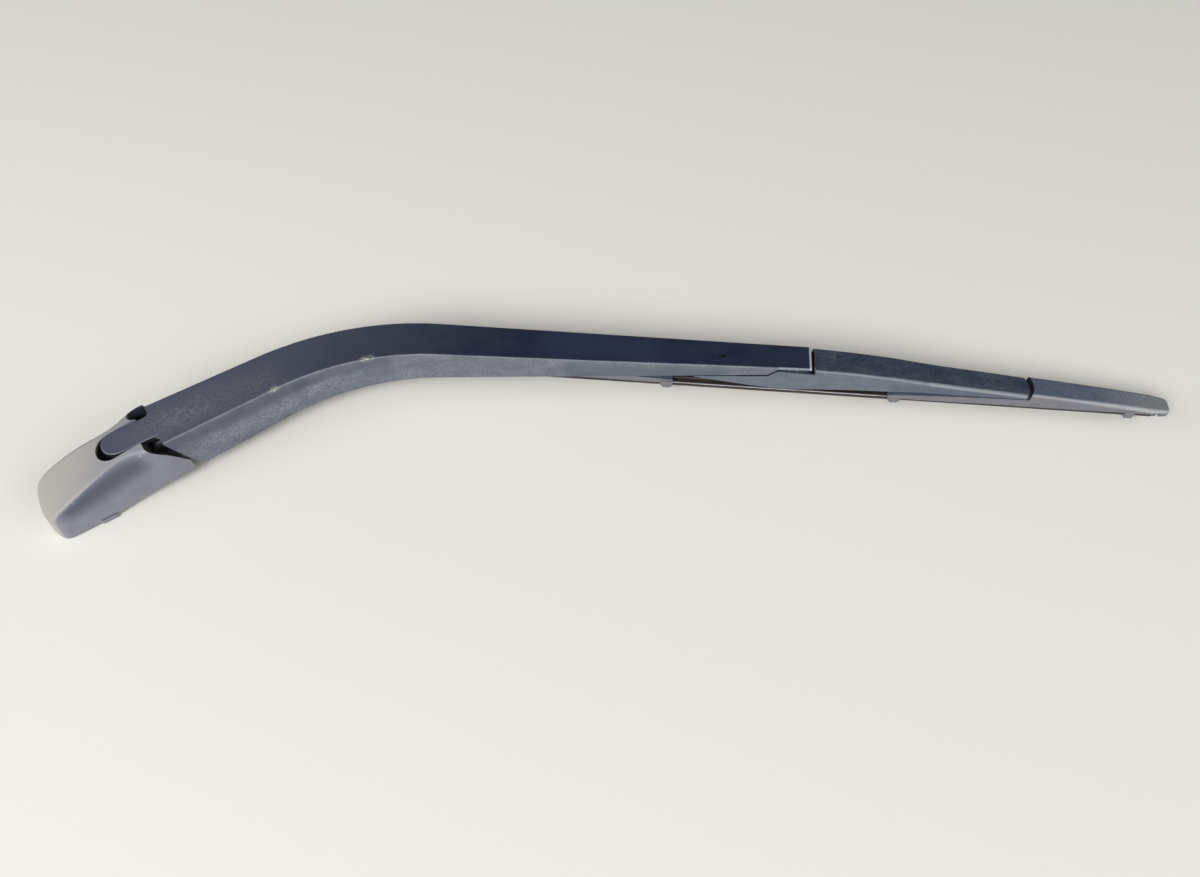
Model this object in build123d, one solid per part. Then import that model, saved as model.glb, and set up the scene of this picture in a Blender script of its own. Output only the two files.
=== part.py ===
from build123d import *
from math import atan2, cos, degrees, hypot, radians, sin
import os

os.makedirs("parts", exist_ok=True)

# Layout in plan: spindle at the origin, blade along +X
HEAD_ANGLE = 39.0
ELBOW_REACH = 130.0
BLADE_X = 300.0
FORE_RISE = 2.19
BEND_RADIUS = 121.0
TOP_Z = 28.0

# Fits
RUN_FIT = 0.05
SIDE_GAP = 0.1

# Arm channel
SHOULDER_U = 38.0
SHOULDER_HALF = 12.0
ELBOW_FAR = 9.4
ELBOW_NEAR = 10.8
ARM_WALL = 1.7
ARM_ROOF = 2.4
ARM_DRAFT = 1.4
ARM_DEPTH = 24.0
LOW_EDGE_AT_SPINDLE = 2.8
LOW_EDGE_SLOPE = 0.0695
ARM_CREASE = 0.9
RIB_THICK = 1.4
RIB_DROP = 6.0
RIB_PITCH = 12.0
RIB_COUNT = 3

# Tail of the arm, seated in the notch of the cap
TAIL_TIP_U = 15.4
TAIL_HALF = 6.2
TAIL_THICK = 2.4
TAIL_EDGE = 0.6
TAIL_ROOT_R = 2.2

# Arm pivot in the hub
PIN_U = 37.0
PIN_Z = 21.0
PIN_R = 2.0
BUSH_WALL = 0.8
BUSH_FLANGE = 1.1
BUSH_FLANGE_THICK = 1.1
EAR_WALL = 1.4
CHEEK_IN = 4.4
CHEEK_THICK = 1.8
LUG_THICK = 1.2
STOP_FACE_U = 45.5
STOP_GAP = 0.15
STOP_THICK = 1.8

# Spindle boss
BOSS_R = 10.0
BOSS_H = 10.0
BORE_R = 4.1
BORE_LEN = 3.6
TAPER_R = 4.9

# Spring, its link and its two pins
HOOK_U = 18.0
HOOK_Z = 5.0
HOOK_R = 1.6
ANCHOR_U = 92.0
ANCHOR_Z = 17.0
ANCHOR_R = 1.75
ANCHOR_BOSS_R = 3.2
ANCHOR_BOSS_IN = 6.6
LINK_R = 1.2
LINK_DIP = 3.8
SPRING_ROOM = 0.4
SPRING_WIRE_R = 0.7
SPRING_LEAD = 33.0
SPRING_TAIL = 8.0
SPRING_TURNS = 12
PLUG_LEN = 5.0

# Cap over the spindle
CAP_END_U = -18.6
CAP_END_BULGE = 4.0
CAP_END_LEAN = 1.5
CAP_END_CORNER = 5.0
CAP_BASE_HALF = 13.8
CAP_TOP_HALF = 10.0
CAP_WALL = 1.6
CAP_PRONG = 1.1
CAP_CLEAR = 0.6
CAP_EDGE = 2.4
CAP_LOW = 0.3
NOTCH_SIDE_GAP = 0.5
NOTCH_END_GAP = 3.2
WELL_REACH = 8.4
CAP_TAB_U = 4.0
CAP_TAB_LEN = 8.0
CAP_TAB_HIGH = 2.1

# Tip of the arm and the blade pivot
TONGUE_END = 12.0
TONGUE_THICK = 1.3
TONGUE_HALF = 6.6
TIP_SHIFT = 0.7
STEP_LOW = -7.3
STEP_HIGH = -3.0
BLADE_PIN_Z = 20.0
BLADE_PIN_R = 2.0
CLIP_HALF = 2.7
CLIP_REACH = 6.5
CLIP_WALL = 2.2
CLIP_MOUTH = 1.6
TIP_LUG_THICK = 1.5
TIP_LUG_WALL = 1.4

# Blade bridge
BRIDGE_WALL = 1.3
BRIDGE_ROOT_HALF = 7.2
BRIDGE_BULGE = 2.0
BRIDGE_EDGE = 1.1
BRIDGE_CORNER = 1.5
RECESS_GAP = 1.6
HORN_GAP = 0.7
SKIRT_END = -40.0
SKIRT_GAP = 0.6
LEFT_HALF = 4.0
WEB_X = -8.0
WEB_LEN = 5.0

# Yokes and claws
BLADE_HALF = 176.0
YOKE_X = 105.0
YOKE_PIN_Z = 13.2
YOKE_PIN_R = 1.1
YOKE_PIN_HALF = 5.2
YOKE_WALL = 1.0
YOKE_EDGE = 1.3
YOKE_TIP_ROUND = 2.4
YOKE_LUG_HALF = 3.2
YOKE_LUG_WALL = 0.7
YOKE_LUG_GAP = 0.5
CLAW_INSET = 18.1
CLAW_WALL = 0.8
CLAW_REACH = 2.8
TIP_CLAW_REACH = 2.1
SEAM = 1.1

# Rubber element and its two rails
FLEXOR_HALF = 4.6
FLEXOR_IN = 1.3
FLEXOR_LOW = 9.6
FLEXOR_THICK = 0.9
RUBBER_INSET = 6.0
FLEXOR_INSET = 1.0
RUBBER_FLANGE = 1.1
RUBBER_NECK_HALF = 0.8
LIP_ROOT_Z = 6.2
LIP_LEAN = 2.6
LIP_EDGE_HALF = 0.4

# Values that follow from the ones above
BLADE_Y = ELBOW_REACH * sin(radians(HEAD_ANGLE)) + FORE_RISE
CHEEK_OUT = CHEEK_IN + CHEEK_THICK
BUSH_R = PIN_R + BUSH_WALL
BUSH_FLANGE_R = BUSH_R + BUSH_FLANGE
EAR_R = BUSH_R + EAR_WALL
LUG_IN = CHEEK_OUT + BUSH_FLANGE_THICK + SIDE_GAP
LUG_OUT = LUG_IN + LUG_THICK
STOP_U = STOP_FACE_U + STOP_GAP
SPRING_COIL_R = CHEEK_IN - SPRING_ROOM - SPRING_WIRE_R
ANCHOR_HALF = ELBOW_FAR
CAP_FLARE_HALF = SHOULDER_HALF + CAP_CLEAR + CAP_PRONG
NOTCH_HALF = TAIL_HALF + NOTCH_SIDE_GAP
NOTCH_END_U = TAIL_TIP_U - NOTCH_END_GAP
TIP_LUG_IN = CLIP_HALF + 2 * SIDE_GAP
TIP_LUG_OUT = TIP_LUG_IN + TIP_LUG_THICK
TIP_LUG_R = BLADE_PIN_R + TIP_LUG_WALL
TONGUE_LOW = TOP_Z - TONGUE_THICK
STEP_Z = LOW_EDGE_AT_SPINDLE + LOW_EDGE_SLOPE * (BLADE_X + STEP_LOW)
RECESS_END = TONGUE_END + RECESS_GAP
BRIDGE_END = YOKE_X + 5
BRIDGE_STOP = YOKE_X + 9
RUBBER_HALF = BLADE_HALF - RUBBER_INSET
FLEXOR_END = RUBBER_HALF - FLEXOR_INSET
FLEXOR_HIGH = FLEXOR_LOW + FLEXOR_THICK
FLANGE_LOW = FLEXOR_LOW - RUBBER_FLANGE
SEAM_FLOOR_Z = FLEXOR_HIGH + 1.9
OUTER_CLAW = BLADE_HALF - CLAW_INSET
INNER_CLAW = 2 * YOKE_X - OUTER_CLAW
CLAW_HALF = FLEXOR_HALF + 2 * SIDE_GAP + CLAW_WALL
CLAW_LOW = FLANGE_LOW - SIDE_GAP - CLAW_WALL

# Frames
HEAD = Rot(0, 0, HEAD_ANGLE)
BLADE = Pos(BLADE_X, BLADE_Y, 0)
HEAD_DIR = Vector(cos(radians(HEAD_ANGLE)), sin(radians(HEAD_ANGLE)), 0)
FAR_OFF = 600.0


def mix(start, end, share):
    """Value that lies a share of the way from start to end."""
    return start + (end - start) * share


def side_prism(points, near, far):
    """Solid between two Y planes, from a closed outline in X and Z."""
    face = make_face(Polyline(*points, close=True))
    return Pos(0, far, 0) * extrude(Plane.XZ * face, amount=far - near)


def side_slab(edges):
    """Solid through the whole width, from the closed edges of an outline in X and Z."""
    return Pos(0, 40, 0) * extrude(Plane.XZ * make_face(edges), amount=80)


def disc(x, near, far, z, radius):
    """Cylinder along Y between two Y planes."""
    return Pos(x, (near + far) / 2, z) * Rot(90, 0, 0) * Cylinder(radius, far - near)


def cross_pin(x, z, radius, half):
    """Cylinder along Y, centred on Y = 0."""
    return disc(x, -half, half, z, radius)


def between(x0, x1, y0, y1, z0, z1):
    """Box from its limits."""
    size = (x1 - x0, y1 - y0, z1 - z0)
    return Pos((x0 + x1) / 2, (y0 + y1) / 2, (z0 + z1) / 2) * Box(*size)


def both_sides(shape):
    """The shape and its mirror image across Y = 0."""
    return shape + mirror(shape, Plane.XZ)


def soften_roof(shape, radius, keep):
    """Round the rim of the largest upward face, on the edges that keep accepts."""
    up = shape.faces().filter_by(lambda f: f.normal_at().Z > 0.5)
    rim = up.sort_by(SortBy.AREA)[-1].edges().filter_by(keep)
    return fillet(rim, radius)


def drafted(outline_low, low, outline_high, high):
    """Loft between two plan outlines of the same make."""
    return loft([Pos(0, 0, low) * outline_low, Pos(0, 0, high) * outline_high], ruled=True)


def round_bar(path, radius):
    """Bar of round section along a path."""
    section = Plane(origin=path @ 0, z_dir=path % 0) * Circle(radius)
    return sweep(section, path=path)


# Centre line of the arm and the directions square to it
elbow = HEAD_DIR * ELBOW_REACH
shoulder = HEAD_DIR * (SHOULDER_U - 4)
tip = Vector(BLADE_X + TONGUE_END, BLADE_Y + TIP_SHIFT, 0)
fore_dir = (tip - elbow).normalized()
head_left = Vector(-HEAD_DIR.Y, HEAD_DIR.X, 0)
fore_left = Vector(-fore_dir.Y, fore_dir.X, 0)
miter = (head_left + fore_left).normalized()
half_bend = radians(head_left.get_angle(fore_left)) / 2


def arm_outline(grow):
    """Closed plan outline of the arm, every wall moved out by grow."""
    out = (ELBOW_FAR + grow) / cos(half_bend)
    inner = (ELBOW_NEAR + grow) / cos(half_bend)
    far = [
        shoulder + head_left * (SHOULDER_HALF + grow),
        elbow + miter * out,
        tip + fore_left * (TONGUE_HALF + grow),
    ]
    near = [
        shoulder - head_left * (SHOULDER_HALF + grow),
        elbow - miter * inner,
        tip - fore_left * (TONGUE_HALF + grow),
    ]
    far_run = FilletPolyline(*far, radius=BEND_RADIUS + ELBOW_FAR + grow)
    near_run = FilletPolyline(*near, radius=BEND_RADIUS - ELBOW_NEAR - grow)
    ends = Line(far[0], near[0]) + Line(far[2], near[2])
    return make_face(far_run.edges() + near_run.edges() + ends.edges())


# Arm: drafted channel, low edge cut on one sloping plane
arm_low = TOP_Z - ARM_DEPTH
arm_under = TOP_Z - ARM_ROOF
arm = drafted(arm_outline(ARM_DRAFT), arm_low, arm_outline(0), TOP_Z)
arm = fillet(arm.faces().sort_by(Axis.Z)[-1].edges(), ARM_CREASE)
cavity = drafted(arm_outline(ARM_DRAFT - ARM_WALL), arm_low, arm_outline(-ARM_WALL), TOP_Z)
cavity -= between(-FAR_OFF, FAR_OFF, -FAR_OFF, FAR_OFF, arm_under, TOP_Z + 5)
arm -= cavity
low_line = [(x, LOW_EDGE_AT_SPINDLE + LOW_EDGE_SLOPE * x) for x in (-FAR_OFF, FAR_OFF)]
arm -= side_prism(low_line + [(FAR_OFF, -FAR_OFF), (-FAR_OFF, -FAR_OFF)], -FAR_OFF, FAR_OFF)

# Cross ribs under the bend
for index in range(RIB_COUNT):
    reach = ELBOW_REACH - index * RIB_PITCH
    rib = between(reach, reach + RIB_THICK, -14, 14, arm_under - RIB_DROP, arm_under)
    arm += (HEAD * rib) & cavity

# Shoulder: the walls start on a slope that faces the cap
slope_end = (SHOULDER_U + 7.6, TOP_Z - 17.6)
corner_end = (SHOULDER_U + 13, TOP_Z - 22)
slope = Polyline(
    (corner_end[0], -20),
    (-20, -20),
    (-20, TOP_Z + 12),
    (SHOULDER_U, TOP_Z + 12),
    (SHOULDER_U, TOP_Z - 1.5),
    slope_end,
)
corner = ThreePointArc(slope_end, (SHOULDER_U + 9.6, TOP_Z - 20.4), corner_end)
arm -= HEAD * side_slab(slope.edges() + corner.edges() + Line(corner_end, (corner_end[0], -20)).edges())

# Tail with a rounded tip and rounded roots
tail_low = TOP_Z - TAIL_THICK
tail_tip_u = TAIL_TIP_U + TAIL_HALF
tail_end_u = SHOULDER_U + 6
root_u = SHOULDER_U - TAIL_ROOT_R
root_v = TAIL_HALF + TAIL_ROOT_R
tail = between(tail_tip_u, tail_end_u, -TAIL_HALF, TAIL_HALF, tail_low, TOP_Z)
tail += Pos(tail_tip_u, 0, TOP_Z - TAIL_THICK / 2) * Cylinder(TAIL_HALF, TAIL_THICK)
tail = fillet(tail.faces().sort_by(Axis.Z)[-1].edges(), TAIL_EDGE)
root = between(root_u, tail_end_u, TAIL_HALF - 1, root_v, tail_low, TOP_Z - TAIL_EDGE / 2)
root -= Pos(root_u, root_v, TOP_Z) * Cylinder(TAIL_ROOT_R, 4 * TAIL_THICK)

# Pivot lugs and stop ribs
lug_top = TOP_Z - 1
lug_end_u = SHOULDER_U + 14
lug_side = [
    (PIN_U, PIN_Z - EAR_R),
    (lug_end_u, PIN_Z - 6),
    (lug_end_u, lug_top),
    (PIN_U + 2, lug_top),
    (PIN_U, PIN_Z + EAR_R),
]
lug = side_prism(lug_side, LUG_IN, LUG_OUT) + disc(PIN_U, LUG_IN, LUG_OUT, PIN_Z, EAR_R)
stop = between(STOP_U, STOP_U + STOP_THICK, CHEEK_IN, LUG_OUT, 12.5, lug_top)
stop += between(STOP_U, lug_end_u, CHEEK_IN, CHEEK_IN + RIB_THICK, 16, lug_top)
arm += HEAD * (tail + both_sides(root + lug + stop))
arm -= HEAD * cross_pin(PIN_U, PIN_Z, PIN_R, LUG_OUT + 1)

# Spring anchor bosses in the channel walls
boss = cross_pin(ANCHOR_U, ANCHOR_Z, ANCHOR_BOSS_R, SHOULDER_HALF + 2)
boss -= cross_pin(ANCHOR_U, ANCHOR_Z, ANCHOR_BOSS_R + 1, ANCHOR_BOSS_IN)
arm += (HEAD * boss) & cavity
arm -= HEAD * cross_pin(ANCHOR_U, ANCHOR_Z, ANCHOR_R, ANCHOR_HALF)

# Tip: walls step up to a bare tongue that carries two lugs for the blade pin
step_cut = [(STEP_LOW, 10), (STEP_LOW, STEP_Z), (STEP_HIGH, TONGUE_LOW), (30, TONGUE_LOW), (30, 10)]
arm -= BLADE * side_prism(step_cut, -20, 20)
tongue_half = TONGUE_HALF - 0.6
tongue_near = TIP_SHIFT - tongue_half
tongue_far = TIP_SHIFT + tongue_half
tongue = between(STEP_LOW, TONGUE_END, tongue_near, tongue_far, TONGUE_LOW, TOP_Z - 0.6)
tip_lug = between(-TIP_LUG_R, TIP_LUG_R, TIP_LUG_IN, TIP_LUG_OUT, BLADE_PIN_Z, TOP_Z - 1)
tip_lug += disc(0, TIP_LUG_IN, TIP_LUG_OUT, BLADE_PIN_Z, TIP_LUG_R)
arm += BLADE * (tongue + both_sides(tip_lug))
arm -= BLADE * cross_pin(0, BLADE_PIN_Z, BLADE_PIN_R, TIP_LUG_OUT + 1)

# Hub: spindle boss and two cheeks that rise to the pivot
hub = Pos(0, 0, BOSS_H / 2) * Cylinder(BOSS_R, BOSS_H)
hub = chamfer(hub.edges().sort_by(Axis.Z)[-1], 0.8)
cheek_side = [
    (4, 0),
    (HOOK_U + 6, 0),
    (STOP_FACE_U - 5.5, 8.5),
    (STOP_FACE_U, 11.5),
    (STOP_FACE_U, 16.5),
    (PIN_U + EAR_R, PIN_Z - 1),
    (PIN_U + EAR_R, PIN_Z),
    (PIN_U, PIN_Z + EAR_R),
    (PIN_U - 0.72 * EAR_R, PIN_Z + 0.69 * EAR_R),
    (HOOK_U + 3, BOSS_H + 0.4),
    (4, BOSS_H - 1),
]
cheek = side_prism(cheek_side, CHEEK_IN, CHEEK_OUT) + disc(PIN_U, CHEEK_IN, CHEEK_OUT, PIN_Z, EAR_R)
hub += both_sides(cheek)
hub += between(TAPER_R + 1.1, BOSS_R + 1.5, -CHEEK_OUT, CHEEK_OUT, 0, BOSS_H - 1)
hub -= cross_pin(PIN_U, PIN_Z, BUSH_R, CHEEK_OUT + 1)
hub -= cross_pin(HOOK_U, HOOK_Z, HOOK_R, CHEEK_OUT + 1)
hub -= Pos(0, 0, BOSS_H / 2) * Cylinder(BORE_R, BOSS_H + 2)
taper_len = BOSS_H - BORE_LEN
hub -= Pos(0, 0, taper_len / 2) * Cone(TAPER_R, BORE_R, taper_len)
hub = HEAD * hub

# Pivot pin, bushes and the two spring pins
pivot_pin = HEAD * cross_pin(PIN_U, PIN_Z, PIN_R, LUG_OUT)
bush = disc(PIN_U, CHEEK_IN, CHEEK_OUT, PIN_Z, BUSH_R)
bush += disc(PIN_U, CHEEK_OUT, CHEEK_OUT + BUSH_FLANGE_THICK, PIN_Z, BUSH_FLANGE_R)
bush -= cross_pin(PIN_U, PIN_Z, PIN_R + RUN_FIT, LUG_OUT)
bush_far = HEAD * bush
bush_near = HEAD * mirror(bush, Plane.XZ)
hook_pin = HEAD * cross_pin(HOOK_U, HOOK_Z, HOOK_R, CHEEK_OUT)
anchor_pin = HEAD * cross_pin(ANCHOR_U, ANCHOR_Z, ANCHOR_R, ANCHOR_HALF)

# Link: a hook on the hub's pin, a bent run and a plug in the spring
pull_angle = degrees(atan2(ANCHOR_Z - HOOK_Z, ANCHOR_U - HOOK_U))
pull_length = hypot(ANCHOR_U - HOOK_U, ANCHOR_Z - HOOK_Z)
PULL = HEAD * Pos(HOOK_U, 0, HOOK_Z) * Rot(0, -pull_angle, 0)
loop_r = HOOK_R + RUN_FIT + LINK_R
plug_mid = SPRING_LEAD + PLUG_LEN / 2
hook_arc = CenterArc((0, 0), loop_r, 100, 170)
link_points = [
    (0, -loop_r),
    (9, -loop_r - 0.6),
    (19, -LINK_DIP),
    (26, 0.4 - LINK_DIP),
    (plug_mid, 0),
]
link_run = Spline(link_points, tangents=[(1, 0), (1, 0)])
link_path = Plane.XZ * Wire(hook_arc.edges() + link_run.edges())
plug_r = SPRING_COIL_R - SPRING_WIRE_R - RUN_FIT
plug = Pos(plug_mid, 0, 0) * Rot(0, 90, 0) * Cylinder(plug_r, PLUG_LEN)
spring_link = PULL * (round_bar(link_path, LINK_R) + plug)

# Spring: coil, knee, stem and the eye on the anchor pin
coil_end = pull_length - SPRING_TAIL
coil_len = coil_end - SPRING_LEAD
coil_path = Helix(pitch=coil_len / SPRING_TURNS, height=coil_len, radius=SPRING_COIL_R)
coil_ring = Plane(origin=coil_path @ 0, z_dir=coil_path % 0) * Circle(SPRING_WIRE_R)
coil = sweep(coil_ring, path=coil_path, is_frenet=True)
eye_r = ANCHOR_R + RUN_FIT + SPRING_WIRE_R
eye = Pos(pull_length, 0, 0) * Rot(90, 0, 0) * Torus(eye_r, SPRING_WIRE_R)
stem = round_bar(Line((coil_end, 0, -SPRING_COIL_R), (pull_length - 0.6, 0, -eye_r)), SPRING_WIRE_R)
knee = Pos(coil_end, 0, -SPRING_COIL_R) * Sphere(SPRING_WIRE_R * 1.02)
spring = PULL * (Pos(SPRING_LEAD, 0, 0) * Rot(0, 90, 0) * coil + eye + stem + knee)

# Cap: domed hood with a notch for the tail and two prongs beside the shoulder
roof_drop = [
    (CAP_END_U - 1.4, 27.2),
    (CAP_END_U - 0.4, 22.6),
    (CAP_END_U + 1.0, 18.6),
    (CAP_END_U + 3.4, 15.2),
    (CAP_END_U + 6.6, 12.4),
    (CAP_END_U + 10.1, 10.3),
    (-5, 8.8),
    (2, 5.9),
    (10, 3.3),
    (19.7, 1.0),
    (SHOULDER_U - 7, -0.4),
]
roof_line = [(u, TOP_Z - drop) for u, drop in roof_drop]
prong_top = (SHOULDER_U - 1.1, TOP_Z + 0.6)
cap_rim = [
    prong_top,
    (SHOULDER_U + 6.2, TOP_Z - 15.6),
    (SHOULDER_U + 6.4, TOP_Z - 20.4),
    (SHOULDER_U + 5, 6.3),
    (SHOULDER_U - 8, 4.6),
    (SHOULDER_U - 22, 2.8),
    (8, 1.0),
    (2, CAP_LOW),
    (CAP_END_U - 1.4, CAP_LOW),
    roof_line[0],
]


def cap_outline(half, flare, end_u, corner):
    """Plan outline of the cap: bulged end, then sides that widen to flare at the arm."""
    start_u = end_u + CAP_END_BULGE
    mouth_u = SHOULDER_U + 22
    side = [
        (mouth_u, flare),
        (SHOULDER_U + 2, flare),
        (SHOULDER_U - 4, flare - 0.1),
        (SHOULDER_U - 14, half),
        (SHOULDER_U - 26, half),
        (start_u, half),
    ]
    far_side = Spline(side)
    near_side = mirror(far_side, Plane.XZ)
    end = ThreePointArc((start_u, half), (end_u, 0), (start_u, -half))
    mouth = Line((mouth_u, flare), (mouth_u, -flare))
    face = make_face(far_side.edges() + end.edges() + near_side.edges() + mouth.edges())
    corners = [v for v in face.vertices() if v.X < 0]
    return fillet(corners, corner)


cap_base = cap_outline(CAP_BASE_HALF, CAP_BASE_HALF, CAP_END_U, CAP_END_CORNER)
crown_end_u = CAP_END_U + CAP_END_LEAN
cap_crown = cap_outline(CAP_TOP_HALF, CAP_FLARE_HALF, crown_end_u, CAP_END_CORNER - 0.5)
cap = drafted(cap_base, 0, cap_crown, TOP_Z + 1)
roof = Spline(roof_line)
ridge = Line(roof_line[-1], prong_top)
cap &= side_slab(roof.edges() + ridge.edges() + Polyline(*cap_rim).edges())
cap = soften_roof(cap, CAP_EDGE, lambda e: e.center().X < SHOULDER_U - 2)

core_base_half = CAP_BASE_HALF - CAP_WALL
core_crown_half = CAP_TOP_HALF - CAP_WALL
core_end_u = CAP_END_U + CAP_WALL
core_corner = CAP_END_CORNER - CAP_WALL
core_base = cap_outline(core_base_half, CAP_BASE_HALF - CAP_PRONG, core_end_u, core_corner)
core_crown_u = core_end_u + CAP_END_LEAN
core_crown = cap_outline(core_crown_half, CAP_FLARE_HALF - CAP_PRONG, core_crown_u, core_corner - 0.5)
core_roof = [(u, z - CAP_WALL - 0.2) for u, z in roof_line]
core_rim = [core_roof[-1], (70, TOP_Z - 1.4), (70, -5), (core_roof[0][0], -5), core_roof[0]]
cap_core = drafted(core_base, 0, core_crown, TOP_Z + 1)
cap_core &= side_slab(Spline(core_roof).edges() + Polyline(*core_rim).edges())
cap -= cap_core

# Openings of the cap: notch, well beside the far prong, sloped edge of the near prong
notch_u = NOTCH_END_U + NOTCH_HALF
notch = between(notch_u, 70, -NOTCH_HALF, NOTCH_HALF, -5, 40)
notch += Pos(notch_u, 0, 18) * Cylinder(NOTCH_HALF, 44)
well_in = CAP_FLARE_HALF - CAP_PRONG - SIDE_GAP
well_r = (well_in - NOTCH_HALF) / 2
well_u = SHOULDER_U - WELL_REACH + well_r
well = between(well_u, 60, NOTCH_HALF - 1, well_in, PIN_Z - 1, 40)
well += Pos(well_u, well_in - well_r, TOP_Z) * Cylinder(well_r, 2 * (TOP_Z - PIN_Z + 1))
near_edge = [
    (SHOULDER_U - 8.2, TOP_Z + 12),
    (SHOULDER_U - 7.8, TOP_Z + 0.4),
    (SHOULDER_U - 1.2, TOP_Z - 5.4),
    (SHOULDER_U + 3, TOP_Z - 11),
    (SHOULDER_U + 6.6, TOP_Z - 16),
    (SHOULDER_U + 22, TOP_Z - 16),
    (SHOULDER_U + 22, TOP_Z + 12),
]
cap -= notch + well + side_prism(near_edge, -30, -5)

# Release tab and the two ribs that grip the boss
tab_start = CAP_TAB_U - CAP_TAB_LEN / 2
tab_end = CAP_TAB_U + CAP_TAB_LEN / 2
tab_out = CAP_BASE_HALF + 0.6
tab_in = CAP_BASE_HALF - 1
tab = between(tab_start, tab_end, -tab_out, -tab_in, CAP_LOW, CAP_LOW + CAP_TAB_HIGH)
tab = fillet(tab.edges().filter_by(Axis.Z).sort_by(Axis.Y)[:2], 1.4)
tab = fillet(tab.faces().sort_by(Axis.Z)[-1].edges(), 0.5)
grip = between(-RIB_THICK / 2, RIB_THICK / 2, BOSS_R + RUN_FIT, core_base_half + 0.4, 2, BOSS_H - 2)
cap = HEAD * (cap + tab + both_sides(grip))

# Blade pin
blade_pin = BLADE * cross_pin(0, BLADE_PIN_Z, BLADE_PIN_R, TIP_LUG_OUT)

# Bridge, tip side: wide, with a recess for the tongue and a skirt under the arm's walls
bridge_foot = YOKE_PIN_Z + 4.6
top_run = [(0, 0), (0.193, 0.108), (0.343, 0.245), (0.522, 0.49), (0.751, 0.735), (1, 1)]
bridge_top = [(mix(RECESS_END, BRIDGE_STOP, run), mix(TOP_Z, bridge_foot, fall)) for run, fall in top_run]
low_run = [(1, 0), (0.825, 0.2), (0.658, 0.4), (0.526, 0.7), (0.43, 0.3), (0.272, -0.2), (0.123, -1.2)]
low_z = YOKE_PIN_Z + 3.2
bridge_low = [(BRIDGE_STOP * run, low_z + rise) for run, rise in low_run]
bridge_low += [(0, low_z - 1.6), (-12, low_z - 0.8), (-26, low_z + 1.2), (SKIRT_END, low_z + 3.1)]
skirt_top = [
    bridge_low[-1],
    (SKIRT_END, low_z + 3.6),
    (STEP_LOW, STEP_Z - SKIRT_GAP),
    (STEP_HIGH, TONGUE_LOW - SKIRT_GAP),
    (RECESS_END, TONGUE_LOW - 1.5),
    bridge_top[0],
]
half_low = [(SKIRT_END - 2, 0.9), (0, 0.1), (48, -0.4), (BRIDGE_END, -1.3)]
half_high = [(SKIRT_END - 2, 0), (0, -0.3), (48, -0.9), (BRIDGE_END, -1.7)]


def bridge_plan(steps, inset):
    """Plan outline with a bulged end, its walls moved in by inset."""
    far = [(x, BRIDGE_ROOT_HALF + step - inset) for x, step in steps]
    near = [(x, -y) for x, y in far]
    end = ThreePointArc(far[-1], (BRIDGE_END + BRIDGE_BULGE - inset, 0), near[-1])
    rest = Polyline(*far[::-1], *near)
    face = make_face(end.edges() + rest.edges())
    corners = [v for v in face.vertices() if v.X > BRIDGE_END - 1]
    return fillet(corners, BRIDGE_CORNER)


bridge = drafted(bridge_plan(half_low, 0), 14, bridge_plan(half_high, 0), 29)
side_runs = Spline(bridge_low).edges() + Spline(bridge_top).edges() + Polyline(*skirt_top).edges()
bridge &= side_slab(side_runs + Line(bridge_top[-1], bridge_low[0]).edges())
bridge = soften_roof(bridge, BRIDGE_EDGE, lambda e: RECESS_END + 1 < e.center().X)
bridge_core = drafted(bridge_plan(half_low, BRIDGE_WALL), 14, bridge_plan(half_high, BRIDGE_WALL), 29)
core_top = [(x, z - BRIDGE_WALL - 0.1) for x, z in bridge_top]
recess_z = BLADE_PIN_Z + 2.9
core_rest = [
    core_top[-1],
    (BRIDGE_STOP, 10),
    (SKIRT_END - 5, 10),
    (SKIRT_END - 5, TOP_Z + 7),
    (CLIP_REACH + 0.5, TOP_Z + 7),
    (CLIP_REACH + 0.5, recess_z),
    (RECESS_END, recess_z),
    core_top[0],
]
bridge -= bridge_core & side_slab(Spline(core_top).edges() + Polyline(*core_rest).edges())
horn_out = BRIDGE_ROOT_HALF - BRIDGE_WALL / 2
horn_start = TONGUE_END + HORN_GAP
bridge += between(horn_start, RECESS_END + 0.3, horn_out - BRIDGE_WALL, horn_out, recess_z, TOP_Z - 0.5)

# Bridge, spindle side: narrow, up inside the arm, joined by two webs
left_top = [
    (WEB_X, TOP_Z - 3.8),
    (-33, TOP_Z - 4.4),
    (-48, TOP_Z - 5.2),
    (-66, TOP_Z - 6.8),
    (-89, TOP_Z - 8.7),
    (-BRIDGE_STOP, bridge_foot - 0.6),
]
left_low = [(-BRIDGE_STOP * run, low_z + rise) for run, rise in low_run[:-1]] + [(WEB_X, low_z - 1.1)]
left_end = -BRIDGE_END - BRIDGE_BULGE
left_bulge = ThreePointArc((-BRIDGE_END, LEFT_HALF), (left_end, 0), (-BRIDGE_END, -LEFT_HALF))
left_rest = Polyline(
    (-BRIDGE_END, LEFT_HALF), (WEB_X, LEFT_HALF), (WEB_X, -LEFT_HALF), (-BRIDGE_END, -LEFT_HALF)
)
left_arm = Pos(0, 0, 10) * extrude(make_face(left_bulge.edges() + left_rest.edges()), amount=20)
left_ends = Line(left_top[-1], left_low[0]).edges() + Line(left_low[-1], left_top[0]).edges()
left_arm &= side_slab(Spline(left_top).edges() + Spline(left_low).edges() + left_ends)
left_stop = left_end + BRIDGE_WALL + 0.2
left_core = [(x, z - BRIDGE_WALL) for x, z in left_top[:-1]]
left_core += [(left_stop, low_z - 0.1), (left_stop, 10), (WEB_X, 10)]
left_arm -= side_prism(left_core, BRIDGE_WALL - LEFT_HALF, LEFT_HALF - BRIDGE_WALL)
web_out = BRIDGE_ROOT_HALF - 0.7
web = between(WEB_X - WEB_LEN, WEB_X, LEFT_HALF - 1, web_out, low_z - 0.2, BLADE_PIN_Z + 1.6)
bridge += left_arm + both_sides(web)

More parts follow.
